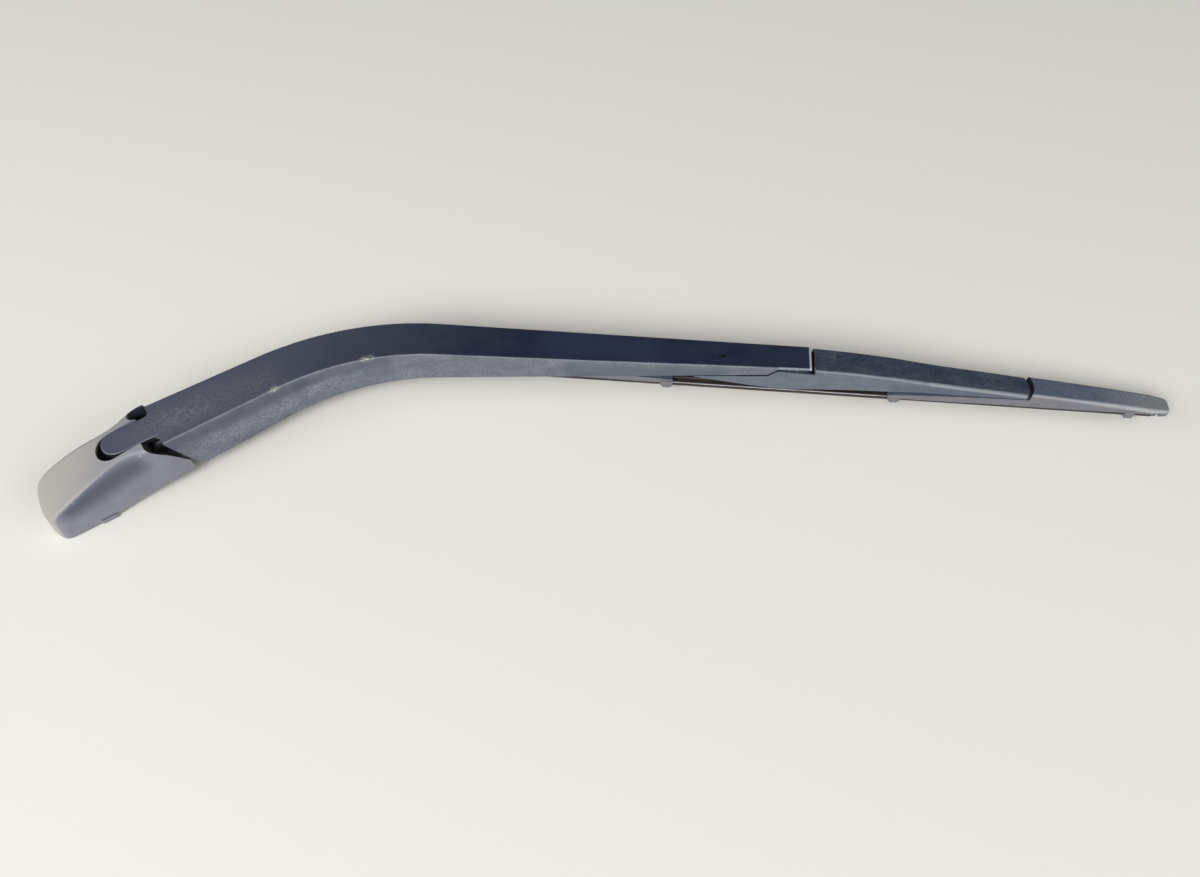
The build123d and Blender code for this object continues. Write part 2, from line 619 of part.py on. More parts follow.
# Lugs under both ends of the bridge, on the yoke pins
lug_r = YOKE_PIN_R + YOKE_LUG_WALL
yoke_lug = between(-lug_r, lug_r, -YOKE_LUG_HALF, YOKE_LUG_HALF, YOKE_PIN_Z, bridge_foot - 0.4)
yoke_lug += cross_pin(0, YOKE_PIN_Z, lug_r, YOKE_LUG_HALF)
yoke_lug -= cross_pin(0, YOKE_PIN_Z, YOKE_PIN_R + RUN_FIT, 10)
bridge += Pos(YOKE_X, 0, 0) * yoke_lug + Pos(-YOKE_X, 0, 0) * yoke_lug
bridge = BLADE * bridge

# Clip that snaps on the blade pin and sits between the bridge's walls
clip_half = BRIDGE_ROOT_HALF - BRIDGE_WALL - RUN_FIT
clip_side = BLADE_PIN_R + CLIP_WALL
clip_low = BLADE_PIN_Z - 5.1
clip = between(-CLIP_REACH, CLIP_REACH, -clip_half, clip_half, clip_low, clip_low + BRIDGE_WALL)
clip += between(-clip_side, clip_side, -CLIP_HALF, CLIP_HALF, clip_low + 1, BLADE_PIN_Z + 2.6)
clip -= cross_pin(0, BLADE_PIN_Z, BLADE_PIN_R + RUN_FIT, 10)
clip -= between(-CLIP_MOUTH, CLIP_MOUTH, -5, 5, BLADE_PIN_Z, TOP_Z + 2)
blade_clip = BLADE * clip

# Yokes: inner beam with a claw, then a cover with the outer claw
beam_start = INNER_CLAW - CLAW_REACH
beam_end = YOKE_X + 5
beam_top = [
    (beam_start, YOKE_PIN_Z - 0.5),
    (INNER_CLAW + CLAW_REACH, YOKE_PIN_Z + 0.1),
    (mix(INNER_CLAW, YOKE_X, 0.45), YOKE_PIN_Z + 1.3),
    (YOKE_X - 11, YOKE_PIN_Z + 2.0),
    (beam_end, YOKE_PIN_Z + 2.2),
]
beam_low = [
    (beam_end, FLEXOR_HIGH + 0.6),
    (YOKE_X - 20, FLEXOR_HIGH + 0.3),
    (INNER_CLAW + 6, FLEXOR_HIGH + 0.1),
    (beam_start, FLEXOR_HIGH + 0.1),
]
cover_start = YOKE_X + 1
cover_run = [(0, 0), (0.1, 0.086), (0.3, 0.272), (0.514, 0.469), (0.7, 0.667), (0.857, 0.852), (1, 1)]
cover_high = YOKE_PIN_Z + 6.7
cover_tip_z = FLEXOR_HIGH + 1.3
cover_top = [(mix(cover_start, BLADE_HALF, x), mix(cover_high, cover_tip_z, z)) for x, z in cover_run]
seam_floor_end = BRIDGE_END + BRIDGE_BULGE + SEAM + YOKE_WALL
nose_u = RUBBER_HALF + 1.3
nose_z = FLEXOR_LOW - 0.7
cover_low = [
    cover_top[-1],
    (BLADE_HALF, nose_z),
    (nose_u, nose_z),
    (nose_u, FLEXOR_HIGH + 0.1),
    (YOKE_X + 22, FLEXOR_HIGH + 0.5),
    (cover_start, FLEXOR_HIGH + 0.6),
    cover_top[0],
]


def claw(x, low, reach):
    """Pair of rounded claws that hook under the flexor rails, reach long to each side of x."""
    shoulder_z = FLEXOR_HIGH + 0.4
    high = shoulder_z + 1.1
    tab_side = [
        (x - reach, high),
        (x - reach, low + 1.6),
        (x - reach / 2, low),
        (x + reach / 2, low),
        (x + reach, low + 1.6),
        (x + reach, high),
    ]
    plate = side_prism(tab_side, CLAW_HALF - CLAW_WALL, CLAW_HALF)
    plate += between(x - 1.6, x + 1.6, 2.9, CLAW_HALF, low, low + CLAW_WALL)
    plate += between(x - reach, x + reach, 3.4, CLAW_HALF, shoulder_z, high)
    return both_sides(plate)


def cover_plan(wide, narrow, inset):
    """Plan outline of a yoke's cover, from its width at the seam and at the nose."""
    far = [
        (cover_start - 6, wide),
        (YOKE_X + 8, wide),
        (BLADE_HALF - 8, narrow),
        (BLADE_HALF, narrow - inset),
    ]
    near = [(x, -y) for x, y in far[::-1]]
    face = make_face(Polyline(*far, *near, close=True))
    nose = [v for v in face.vertices() if v.X > BLADE_HALF - 1]
    return fillet(nose, YOKE_TIP_ROUND)


def make_yoke(beam_half, cover_low_half, cover_high_half, nose_half):
    """One yoke on the +X side of the blade."""
    beam = side_prism(beam_top + beam_low, -beam_half, beam_half)
    under_beam = [(x, z - YOKE_WALL) for x, z in beam_top] + [(beam_end, 8), (beam_start, 8)]
    beam -= side_prism(under_beam, YOKE_WALL - beam_half, beam_half - YOKE_WALL)
    plan_low = cover_plan(cover_low_half, nose_half + 0.3, 1.3)
    plan_high = cover_plan(cover_high_half, nose_half - 0.2, 1.2)
    cover = drafted(plan_low, 8, plan_high, 20)
    cover &= side_slab(Spline(cover_top).edges() + Polyline(*cover_low).edges())
    cover = soften_roof(cover, YOKE_EDGE, lambda e: e.center().X > YOKE_X + 3)
    seam_r = (BRIDGE_BULGE ** 2 + cover_low_half ** 2) / (2 * BRIDGE_BULGE)
    seam = Pos(BRIDGE_END + BRIDGE_BULGE - seam_r, 0, 22.5) * Cylinder(seam_r + SEAM, 14)
    under_cover = [(x, z - YOKE_WALL - 0.1) for x, z in cover_top]
    under_cover += [(BLADE_HALF - 1.2, 7), (cover_start, 7)]
    hollow = side_prism(under_cover, YOKE_WALL - CLAW_HALF, CLAW_HALF - YOKE_WALL)
    hollow &= drafted(offset(plan_low, -YOKE_WALL), 8, offset(plan_high, -YOKE_WALL), 20)
    hollow &= between(seam_floor_end, nose_u, -10, 10, 0, 40)
    hollow_half = beam_half - YOKE_WALL
    hollow += between(cover_start - 6, seam_floor_end, -hollow_half, hollow_half, 0, SEAM_FLOOR_Z)
    yoke = beam + (cover - seam - hollow)
    slot_half = YOKE_LUG_HALF + YOKE_LUG_GAP
    yoke -= between(YOKE_X - 7, YOKE_X + 7, -slot_half, slot_half, 0, YOKE_PIN_Z + 2.8)
    yoke += claw(INNER_CLAW, CLAW_LOW, CLAW_REACH)
    yoke += claw(OUTER_CLAW, CLAW_LOW - 2 * SIDE_GAP, TIP_CLAW_REACH)
    return yoke - cross_pin(YOKE_X, YOKE_PIN_Z, YOKE_PIN_R, YOKE_PIN_HALF)


outer_yoke = BLADE * make_yoke(5.6, 5.9, 5.5, 5.0)
inner_yoke = BLADE * mirror(make_yoke(5.2, 5.2, 4.9, 4.3), Plane.YZ)
yoke_pin = cross_pin(YOKE_X, YOKE_PIN_Z, YOKE_PIN_R, YOKE_PIN_HALF)
yoke_pin_outer = BLADE * yoke_pin
yoke_pin_inner = BLADE * mirror(yoke_pin, Plane.YZ)

# Rubber element: a core that holds both rails, a neck and a leaning lip
flange_half = FLEXOR_HALF - 0.4
core_side = [
    (0, FLEXOR_HIGH + 0.7),
    (2.0, FLEXOR_HIGH + 0.7),
    (2.0, FLEXOR_HIGH),
    (FLEXOR_IN, FLEXOR_HIGH),
    (FLEXOR_IN, FLEXOR_LOW),
    (flange_half, FLEXOR_LOW),
    (flange_half, FLANGE_LOW),
    (RUBBER_NECK_HALF, FLANGE_LOW),
    (RUBBER_NECK_HALF, LIP_ROOT_Z + 0.4),
]
lip = [
    (2.6, LIP_ROOT_Z),
    (2.7, LIP_ROOT_Z - 0.8),
    (LIP_LEAN + LIP_EDGE_HALF, 0),
    (LIP_LEAN - LIP_EDGE_HALF, 0),
    (-2.3, LIP_ROOT_Z - 0.6),
    (-2.3, LIP_ROOT_Z),
]
rubber_outline = core_side + lip + [(-y, z) for y, z in core_side[:0:-1]]
rubber_face = Plane.YZ * make_face(Polyline(*rubber_outline, close=True))
rubber = BLADE * extrude(rubber_face, amount=RUBBER_HALF, both=True)

# Two steel rails in the grooves of the rubber
flexor = between(-FLEXOR_END, FLEXOR_END, FLEXOR_IN, FLEXOR_HALF, FLEXOR_LOW, FLEXOR_HIGH)
flexor_far = BLADE * flexor
flexor_near = BLADE * mirror(flexor, Plane.XZ)

pieces = {
    "hub": hub,
    "cap": cap,
    "arm": arm,
    "pivot_pin": pivot_pin,
    "bush_near": bush_near,
    "bush_far": bush_far,
    "hook_pin": hook_pin,
    "anchor_pin": anchor_pin,
    "spring_link": spring_link,
    "spring": spring,
    "blade_pin": blade_pin,
    "bridge": bridge,
    "blade_clip": blade_clip,
    "inner_yoke": inner_yoke,
    "outer_yoke": outer_yoke,
    "yoke_pin_inner": yoke_pin_inner,
    "yoke_pin_outer": yoke_pin_outer,
    "rubber": rubber,
    "flexor_near": flexor_near,
    "flexor_far": flexor_far,
}
for name, shape in pieces.items():
    export_step(shape, f"parts/{name}.step")
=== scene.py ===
"""Looks of a rear wiper arm and its blade: finishes, the rubber and rails in segmented halves, light and
camera.
"""
import logging
from abc import ABC, abstractmethod
from dataclasses import dataclass
from enum import Enum
from math import cos, radians, sin
from typing import Any, Mapping, Optional, Sequence, Union

import bmesh
import bpy
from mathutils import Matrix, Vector


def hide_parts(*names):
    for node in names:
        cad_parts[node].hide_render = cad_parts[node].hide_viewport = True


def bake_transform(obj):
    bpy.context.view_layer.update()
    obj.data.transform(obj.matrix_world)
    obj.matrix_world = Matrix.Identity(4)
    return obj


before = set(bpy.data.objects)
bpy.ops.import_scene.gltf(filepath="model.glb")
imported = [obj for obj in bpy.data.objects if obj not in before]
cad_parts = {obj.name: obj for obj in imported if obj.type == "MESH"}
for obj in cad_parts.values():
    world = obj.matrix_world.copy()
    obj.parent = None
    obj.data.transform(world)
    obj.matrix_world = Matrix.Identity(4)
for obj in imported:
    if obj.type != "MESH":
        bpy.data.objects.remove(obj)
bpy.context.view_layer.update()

LOG = logging.getLogger("wiper_arm")
# Metres in a millimetre
MM = 0.001
# Turn of the head's axis from the blade's, in degrees
HEAD_ANGLE = 39.0
# Numbers of a Mix node's colour sockets, which share their names with others
FACTOR = 0
UNDER = 6
OVER = 7
MIXED = 2
# Middle of what runs from 0 to 1, such as noise or a place across a strip
MIDDLE = 0.5

Colour = tuple[float, float, float, float]
Point = tuple[float, float, float]
Span = tuple[float, float]
Section = Sequence[tuple[float, float]]
Tree = bpy.types.NodeTree
Socket = bpy.types.NodeSocket


class Body(str, Enum):
    """The rigid bodies of the blade."""

    BLADE = "blade"
    INNER_YOKE = "inner_yoke"
    OUTER_YOKE = "outer_yoke"


class Half(Enum):
    """The two halves of the blade, as a sign along it from its pivot."""

    INNER = -1
    OUTER = 1


def linear(colour: str) -> Colour:
    """Turn an sRGB hex colour into the linear one that shaders use.

    Args:
        colour: Six hex digits with a leading hash.

    Returns:
        Red, green, blue and alpha, linear.
    """
    channels = [int(colour[start:start + 2], 16) / 255 for start in (1, 3, 5)]
    # The two pieces of the sRGB standard's curve
    red, green, blue = [c / 12.92 if c <= 0.04045 else ((c + 0.055) / 1.055) ** 2.4 for c in channels]
    return (red, green, blue, 1.0)


def head_point(along: float, across: float, height: float) -> Point:
    """Place given along and across the head's axis, from the spindle.

    Args:
        along: Distance from the spindle towards the bend, in millimetres.
        across: Distance from the axis, positive on the far side, in millimetres.
        height: Height, in millimetres.

    Returns:
        The place in the model's frame, in millimetres.
    """
    turn = radians(HEAD_ANGLE)
    return (along * cos(turn) - across * sin(turn), along * sin(turn) + across * cos(turn), height)


def add_node(
    tree: Tree,
    kind: str,
    inputs: Optional[Mapping[Union[str, int], Any]] = None,
    output: Union[str, int] = 0,
    **settings: Any,
) -> Optional[Socket]:
    """Add one shader node with its settings, input values and links.

    Args:
        tree: The node tree of a material or of the world.
        kind: Blender's name for the node type, without its prefix.
        inputs: Socket name or number, with a plain value or the output socket that feeds it.
        output: Name or number of the output to hand back.
        settings: The node's own properties.

    Returns:
        The chosen output socket, or None from a node that has no outputs.
    """
    node = tree.nodes.new(f"ShaderNode{kind}")
    for name, value in settings.items():
        setattr(node, name, value)
    for key, value in (inputs or {}).items():
        if isinstance(value, Socket):
            tree.links.new(value, node.inputs[key])
        else:
            node.inputs[key].default_value = value
    return node.outputs[output] if node.outputs else None


class Facing(Enum):
    """Which faces a mark keeps to.

    Each value is the way that they look, then how far along it they look where the mark begins to count
    and where it counts in full. SIDE is every face that doesn't look up, so its numbers fall. BACK and
    NEAR go by the head's axis, RIM is the cap's sloped front rim, and FORE and AFT go by the blade.
    """

    SIDE = ((0.0, 0.0, 1.0), (0.6, 0.3))
    UP = ((0.0, 0.0, 1.0), (0.4, 0.7))
    BACK = (head_point(-1.0, 0.0, 0.0), (0.1, 0.4))
    NEAR = (head_point(0.0, -1.0, 0.0), (0.4, 0.8))
    RIM = (head_point(0.8, 0.0, 0.6), (0.68, 0.82))
    FORE = ((1.0, 0.0, 0.0), (0.5, 0.8))
    AFT = ((-1.0, 0.0, 0.0), (0.5, 0.8))


@dataclass(frozen=True)
class Mark:
    """A patch along a short line on a surface: wear, stain or grime, or painted shade or a painted
    highlight.

    Attributes:
        start: One end of the line, in millimetres.
        end: Its other end.
        radius: Distance from the line where the patch has faded out, in millimetres.
        colour: What shows there.
        strength: How much of the surface it covers at most, from 0 to 1.
        clump: Size of its ragged bits, in millimetres, or 0 for an even patch.
        core: Share of the radius over which it keeps its strength.
        facing: The faces that are marked, or None for all.
        clump_span: Noise level where the bits begin and where they are whole.
        clump_octaves: Octaves of their noise.
        clump_gain: How much of each octave the next one keeps.
    """

    start: Point
    end: Point
    radius: float
    colour: str
    strength: float
    clump: float = 0.0
    core: float = 0.0
    facing: Optional[Facing] = None
    clump_span: Span = (0.4, 0.62)
    clump_octaves: float = 3.0
    clump_gain: float = 0.6

    def lay(self, tree: Tree, under: Socket) -> Socket:
        """Lay the patch over a colour.

        Args:
            tree: The material's node tree.
            under: The colour so far.

        Returns:
            The colour with the patch on it.
        """
        point = add_node(tree, "TexCoord", output="Object")
        start = Vector(self.start) * MM
        line = Vector(self.end) * MM - start
        offset = add_node(tree, "VectorMath", {0: point, 1: start}, operation="SUBTRACT")
        along = {0: offset, 1: line / line.length_squared}
        run = add_node(tree, "VectorMath", along, "Value", operation="DOT_PRODUCT")
        run = add_node(tree, "Clamp", {"Value": run})
        foot = add_node(tree, "VectorMath", {0: line, "Scale": run}, operation="SCALE")
        away = add_node(tree, "VectorMath", {0: offset, 1: foot}, "Value", operation="DISTANCE")
        share = add_node(tree, "MapRange", {
            "Value": away, "From Min": self.radius * MM, "From Max": self.radius * self.core * MM,
            "To Max": self.strength,
        }, interpolation_type="SMOOTHSTEP")
        if self.clump:
            bits = add_node(tree, "TexNoise", {
                "Vector": point, "Scale": 1 / (self.clump * MM), "Detail": self.clump_octaves,
                "Roughness": self.clump_gain,
            })
            bits = add_node(tree, "MapRange", {
                "Value": bits, "From Min": self.clump_span[0], "From Max": self.clump_span[1],
            }, interpolation_type="SMOOTHSTEP")
            share = add_node(tree, "Math", {0: share, 1: bits}, operation="MULTIPLY")
        if self.facing:
            way, span = self.facing.value
            normal = add_node(tree, "TexCoord", output="Normal")
            looks = add_node(tree, "VectorMath", {0: normal, 1: way}, "Value", operation="DOT_PRODUCT")
            looks = add_node(tree, "MapRange", {
                "Value": looks, "From Min": span[0], "From Max": span[1],
            }, interpolation_type="SMOOTHSTEP")
            share = add_node(tree, "Math", {0: share, 1: looks}, operation="MULTIPLY")
        patch = {FACTOR: share, UNDER: under, OVER: linear(self.colour)}
        return add_node(tree, "Mix", patch, MIXED, data_type="RGBA")


class Finish(ABC):
    """A finish, which can be made into a material.

    Attributes:
        name: The material's name.
    """

    name: str

    def make(self) -> bpy.types.Material:
        """Make a node material whose principled shader is fed by the finish.

        Returns:
            The material, ready to assign.
        """
        material = bpy.data.materials.new(self.name)
        material.use_nodes = True
        tree = material.node_tree
        tree.nodes.clear()
        shader = add_node(tree, "BsdfPrincipled", self.feed(tree), "BSDF")
        add_node(tree, "OutputMaterial", {"Surface": shader})
        return material

    @abstractmethod
    def feed(self, tree: Tree) -> dict[str, Any]:
        """Wire the empty node tree and give the shader's input values and links."""


@dataclass(frozen=True)
class GrainedSkin(Finish):
    """Pigmented skin with a fine grain: plastic from a spark-eroded tool, or a coat on a casting.

    The eye sees a satin roof, chalkier walls with a fine grain and streaky clouds, and a painted
    highlight, a thin pale line along the rounded crease between them.

    Attributes:
        name: The material's name.
        roof: Colour of faces that look up, at the fresh end.
        wall: Colour of the walls.
        chalk: Colour of the chalky clouds on the walls.
        crease: Colour of the painted highlight on the crease.
        roof_faded: Colour of faces that look up at the weathered end, where that differs.
        fade_span: Where along X the roof is weathered and where it is fresh, in millimetres.
        crease_highlight: Strength of the painted highlight on the crease, from 0 to 1.
        crease_rise: Upward part of the normal where the crease begins and where it is whole.
        crease_fall: Upward part where it has ended again and where it is still whole.
        crease_breaks: Noise level where the highlight's line is faintest and where it is whole.
        crease_least: Share of the highlight that is left where the line is faintest.
        turn: Upward part of the normal where the wall's colour ends and where the roof's is whole.
        wall_way: Where given, only faces that look along this line count as walls.
        wall_turn: How far along it they look where the roof's colour ends and where the wall's is whole.
        grain: Size of the grain, in millimetres, two or three times the real one so that it shows.
        grain_depth: Height of the grain, in millimetres.
        grain_octaves: Octaves of the grain's noise.
        grain_gain: How much of each octave the next one keeps in the grain.
        wall_grain: How much the grain lightens and darkens the walls.
        roof_grain: How much it lightens and darkens the roof.
        cloud: Size of the clouds across their streaks, in millimetres.
        cloud_octaves: Octaves of the clouds' noise.
        cloud_gain: How much of each octave the next one keeps in the clouds.
        cloud_rough: Roughness added by the clouds.
        streak: Squash of the clouds' pattern on each axis, which draws them out into streaks.
        chalk_span: Noise level where the chalk begins and where it is whole.
        roof_cloud: How much the clouds lighten the roof.
        roof_rough: Roughness of the roof.
        wall_rough: Roughness of the walls.
        ior: Refractive index, that of a common plastic.
        marks: Patches of wear, stain or grime, and of painted shade and painted highlights.
    """

    name: str
    roof: str
    wall: str
    chalk: str
    crease: str
    roof_faded: Optional[str] = None
    fade_span: Span = (0.0, 1.0)
    crease_highlight: float = 0.6
    crease_rise: Span = (0.3, 0.5)
    crease_fall: Span = (0.93, 0.75)
    crease_breaks: Span = (0.25, 0.55)
    crease_least: float = 0.35
    turn: Span = (0.55, 0.9)
    wall_way: Optional[Point] = None
    wall_turn: Span = (0.5, 0.85)
    grain: float = 0.55
    grain_depth: float = 0.02
    grain_octaves: float = 1.5
    grain_gain: float = 0.5
    wall_grain: float = 0.5
    roof_grain: float = 0.25
    cloud: float = 5.0
    cloud_octaves: float = 6.0
    cloud_gain: float = 0.62
    cloud_rough: float = 0.12
    streak: Point = (0.45, 0.8, 1.0)
    chalk_span: Span = (0.35, 0.72)
    roof_cloud: float = 0.12
    roof_rough: float = 0.42
    wall_rough: float = 0.58
    ior: float = 1.46
    marks: tuple[Mark, ...] = ()

    def feed(self, tree: Tree) -> dict[str, Any]:
        """Wire the colour, roughness and grain.

        Args:
            tree: The material's empty node tree.

        Returns:
            The shader's input values and links.
        """
        point = add_node(tree, "TexCoord", output="Object")
        normal = add_node(tree, "TexCoord", output="Normal")
        upward = add_node(tree, "SeparateXYZ", {"Vector": normal}, "Z")
        streaked = add_node(tree, "VectorMath", {0: point, 1: self.streak}, operation="MULTIPLY")
        grain = add_node(tree, "TexNoise", {
            "Vector": point, "Scale": 1 / (self.grain * MM), "Detail": self.grain_octaves,
            "Roughness": self.grain_gain,
        })
        cloud = add_node(tree, "TexNoise", {
            "Vector": streaked, "Scale": 1 / (self.cloud * MM), "Detail": self.cloud_octaves,
            "Roughness": self.cloud_gain,
        })
        roof = self._roof_share(tree, upward)
        chalky = add_node(tree, "MapRange", {
            "Value": cloud, "From Min": self.chalk_span[0], "From Max": self.chalk_span[1],
        })
        walls = {FACTOR: chalky, UNDER: linear(self.wall), OVER: linear(self.chalk)}
        wall = add_node(tree, "Mix", walls, MIXED, data_type="RGBA")
        clouded = add_node(tree, "Math", {0: chalky, 1: self.roof_cloud}, operation="MULTIPLY")
        tops = {FACTOR: clouded, UNDER: self._roof_colour(tree, point), OVER: linear(self.chalk)}
        top = add_node(tree, "Mix", tops, MIXED, data_type="RGBA")
        colour = add_node(tree, "Mix", {FACTOR: roof, UNDER: wall, OVER: top}, MIXED, data_type="RGBA")
        swing = add_node(tree, "MapRange", {
            "Value": roof, "To Min": self.wall_grain, "To Max": self.roof_grain,
        })
        centred = add_node(tree, "Math", {0: grain, 1: MIDDLE}, operation="SUBTRACT")
        shade = add_node(tree, "Math", {0: centred, 1: swing, 2: 1.0}, operation="MULTIPLY_ADD")
        colour = add_node(tree, "VectorMath", {0: colour, "Scale": shade}, operation="SCALE")
        # Painted highlight along the crease between roof and walls
        colour = self._paint_crease_highlight(tree, colour, upward, cloud)
        for mark in self.marks:
            colour = mark.lay(tree, colour)
        rough = add_node(tree, "MapRange", {
            "Value": roof, "To Min": self.wall_rough, "To Max": self.roof_rough,
        })
        rough = add_node(tree, "Math", {0: cloud, 1: self.cloud_rough, 2: rough}, operation="MULTIPLY_ADD")
        bump = add_node(tree, "Bump", {"Height": grain, "Distance": self.grain_depth * MM})
        return {"Base Color": colour, "Roughness": rough, "Normal": bump, "IOR": self.ior}

    def _roof_share(self, tree: Tree, upward: Socket) -> Socket:
        """Tell the roof from the walls.

        Args:
            tree: The material's node tree.
            upward: The normal's upward part.

        Returns:
            1 on the roof and 0 on the walls.
        """
        share = add_node(tree, "MapRange", {
            "Value": upward, "From Min": self.turn[0], "From Max": self.turn[1],
        }, interpolation_type="SMOOTHSTEP")
        if self.wall_way is None:
            return share
        normal = add_node(tree, "TexCoord", output="Normal")
        ways = {0: normal, 1: self.wall_way}
        looks = add_node(tree, "VectorMath", ways, "Value", operation="DOT_PRODUCT")
        looks = add_node(tree, "Math", {0: looks}, operation="ABSOLUTE")
        rest = add_node(tree, "MapRange", {
            "Value": looks, "From Min": self.wall_turn[1], "From Max": self.wall_turn[0],
        }, interpolation_type="SMOOTHSTEP")
        return add_node(tree, "Math", {0: share, 1: rest}, operation="MULTIPLY")

    def _roof_colour(self, tree: Tree, point: Socket) -> Union[Colour, Socket]:
        """Colour of the roof, weathered towards one end where the finish says so.

        Args:
            tree: The material's node tree.
            point: The place on the surface.

        Returns:
            A plain colour, or the socket that carries it.
        """
        if self.roof_faded is None:
            return linear(self.roof)
        along = add_node(tree, "SeparateXYZ", {"Vector": point}, "X")
        fresh = add_node(tree, "MapRange", {
            "Value": along, "From Min": self.fade_span[0] * MM, "From Max": self.fade_span[1] * MM,
        }, interpolation_type="SMOOTHSTEP")
        ends = {FACTOR: fresh, UNDER: linear(self.roof_faded), OVER: linear(self.roof)}
        return add_node(tree, "Mix", ends, MIXED, data_type="RGBA")

    def _paint_crease_highlight(self, tree: Tree, under: Socket, upward: Socket, cloud: Socket) -> Socket:
        """Paint a highlight on the rounded crease, where the normal lies between wall and roof.

        Args:
            tree: The material's node tree.
            under: The colour so far.
            upward: The normal's upward part.
            cloud: Noise that breaks the highlight's line up.

        Returns:
            The colour with the painted highlight on it.
        """
        rising = add_node(tree, "MapRange", {
            "Value": upward, "From Min": self.crease_rise[0], "From Max": self.crease_rise[1],
        }, interpolation_type="SMOOTHSTEP")
        falling = add_node(tree, "MapRange", {
            "Value": upward, "From Min": self.crease_fall[0], "From Max": self.crease_fall[1],
        }, interpolation_type="SMOOTHSTEP")
        broken = add_node(tree, "MapRange", {
            "Value": cloud, "From Min": self.crease_breaks[0], "From Max": self.crease_breaks[1],
            "To Min": self.crease_least * self.crease_highlight, "To Max": self.crease_highlight,
        })
        line = add_node(tree, "Math", {0: rising, 1: falling}, operation="MULTIPLY")
        line = add_node(tree, "Math", {0: line, 1: broken}, operation="MULTIPLY")
        # Painted highlight: the crease is mixed towards the pale crease colour
        highlighted = {FACTOR: line, UNDER: under, OVER: linear(self.crease)}
        return add_node(tree, "Mix", highlighted, MIXED, data_type="RGBA")


@dataclass(frozen=True)
class WorkedMetal(Finish):
    """Drawn, rolled or plated metal: fine marks along its length and dull clouds of oil or oxide.

    Attributes:
        name: The material's name.
        colour: Colour of the clean metal.
        dull: Colour of the clouds.
        rough: Roughness of the clean metal.
        dull_rough: Roughness added by the clouds.
        scratch: Width of the marks, in millimetres, wider than real so that they show.
        cloud: Size of the clouds, in millimetres.
        depth: Depth of the marks, in millimetres.
        drawn: Squash of the marks' pattern on each axis, which draws them out along X.
        scratch_octaves: Octaves of the marks' noise.
        cloud_octaves: Octaves of the clouds' noise.
        cloud_span: Noise level where the clouds begin and where they are whole.
        edge: Colour of the sheared edges, which look sideways, where that differs.
        edge_span: Upward part of the normal where the edges begin and where they are whole.
        painted_shade: Colour of painted shade on the broad faces of a strip, which its rims are free of.
        painted_shade_span: Distance from the strip's middle, as a share of its width, where the painted
            shade ends.
    """

    name: str
    colour: str
    dull: str
    rough: float
    dull_rough: float
    scratch: float
    cloud: float
    depth: float = 0.01
    drawn: Point = (0.08, 1.0, 1.0)
    scratch_octaves: float = 2.0
    cloud_octaves: float = 4.0
    cloud_span: Span = (0.4, 0.7)
    edge: Optional[str] = None
    edge_span: Span = (0.5, 0.3)
    painted_shade: Optional[str] = None
    painted_shade_span: Span = (0.36, 0.32)

    def feed(self, tree: Tree) -> dict[str, Any]:
        """Wire the colour, roughness and marks.

        Args:
            tree: The material's empty node tree.

        Returns:
            The shader's input values and links.
        """
        point = add_node(tree, "TexCoord", output="Object")
        drawn = add_node(tree, "VectorMath", {0: point, 1: self.drawn}, operation="MULTIPLY")
        marks = add_node(tree, "TexNoise", {
            "Vector": drawn, "Scale": 1 / (self.scratch * MM), "Detail": self.scratch_octaves,
        })
        clouds = add_node(tree, "TexNoise", {
            "Vector": point, "Scale": 1 / (self.cloud * MM), "Detail": self.cloud_octaves,
        })
        share = add_node(tree, "MapRange", {
            "Value": clouds, "From Min": self.cloud_span[0], "From Max": self.cloud_span[1],
        }, interpolation_type="SMOOTHSTEP")
        clouded = {FACTOR: share, UNDER: linear(self.colour), OVER: linear(self.dull)}
        colour = add_node(tree, "Mix", clouded, MIXED, data_type="RGBA")
        # Painted shade: the broad faces darken towards the strip's middle, and the rims stay pale
        if self.painted_shade:
            place = add_node(tree, "TexCoord", output="Generated")
            across = add_node(tree, "SeparateXYZ", {"Vector": place}, "Y")
            off = add_node(tree, "Math", {0: across, 1: MIDDLE}, operation="SUBTRACT")
            off = add_node(tree, "Math", {0: off}, operation="ABSOLUTE")
            shade_share = add_node(tree, "MapRange", {
                "Value": off, "From Min": self.painted_shade_span[0], "From Max": self.painted_shade_span[1],
            }, interpolation_type="SMOOTHSTEP")
            shaded = {FACTOR: shade_share, UNDER: colour, OVER: linear(self.painted_shade)}
            colour = add_node(tree, "Mix", shaded, MIXED, data_type="RGBA")
        if self.edge:
            normal = add_node(tree, "TexCoord", output="Normal")
            upward = add_node(tree, "SeparateXYZ", {"Vector": normal}, "Z")
            upright = add_node(tree, "Math", {0: upward}, operation="ABSOLUTE")
            side = add_node(tree, "MapRange", {
                "Value": upright, "From Min": self.edge_span[0], "From Max": self.edge_span[1],
            })
            edged = {FACTOR: side, UNDER: colour, OVER: linear(self.edge)}
            colour = add_node(tree, "Mix", edged, MIXED, data_type="RGBA")
        dulled = {0: share, 1: self.dull_rough, 2: self.rough}
        rough = add_node(tree, "Math", dulled, operation="MULTIPLY_ADD")
        bump = add_node(tree, "Bump", {"Height": marks, "Distance": self.depth * MM})
        return {"Base Color": colour, "Roughness": rough, "Normal": bump, "Metallic": 1.0}


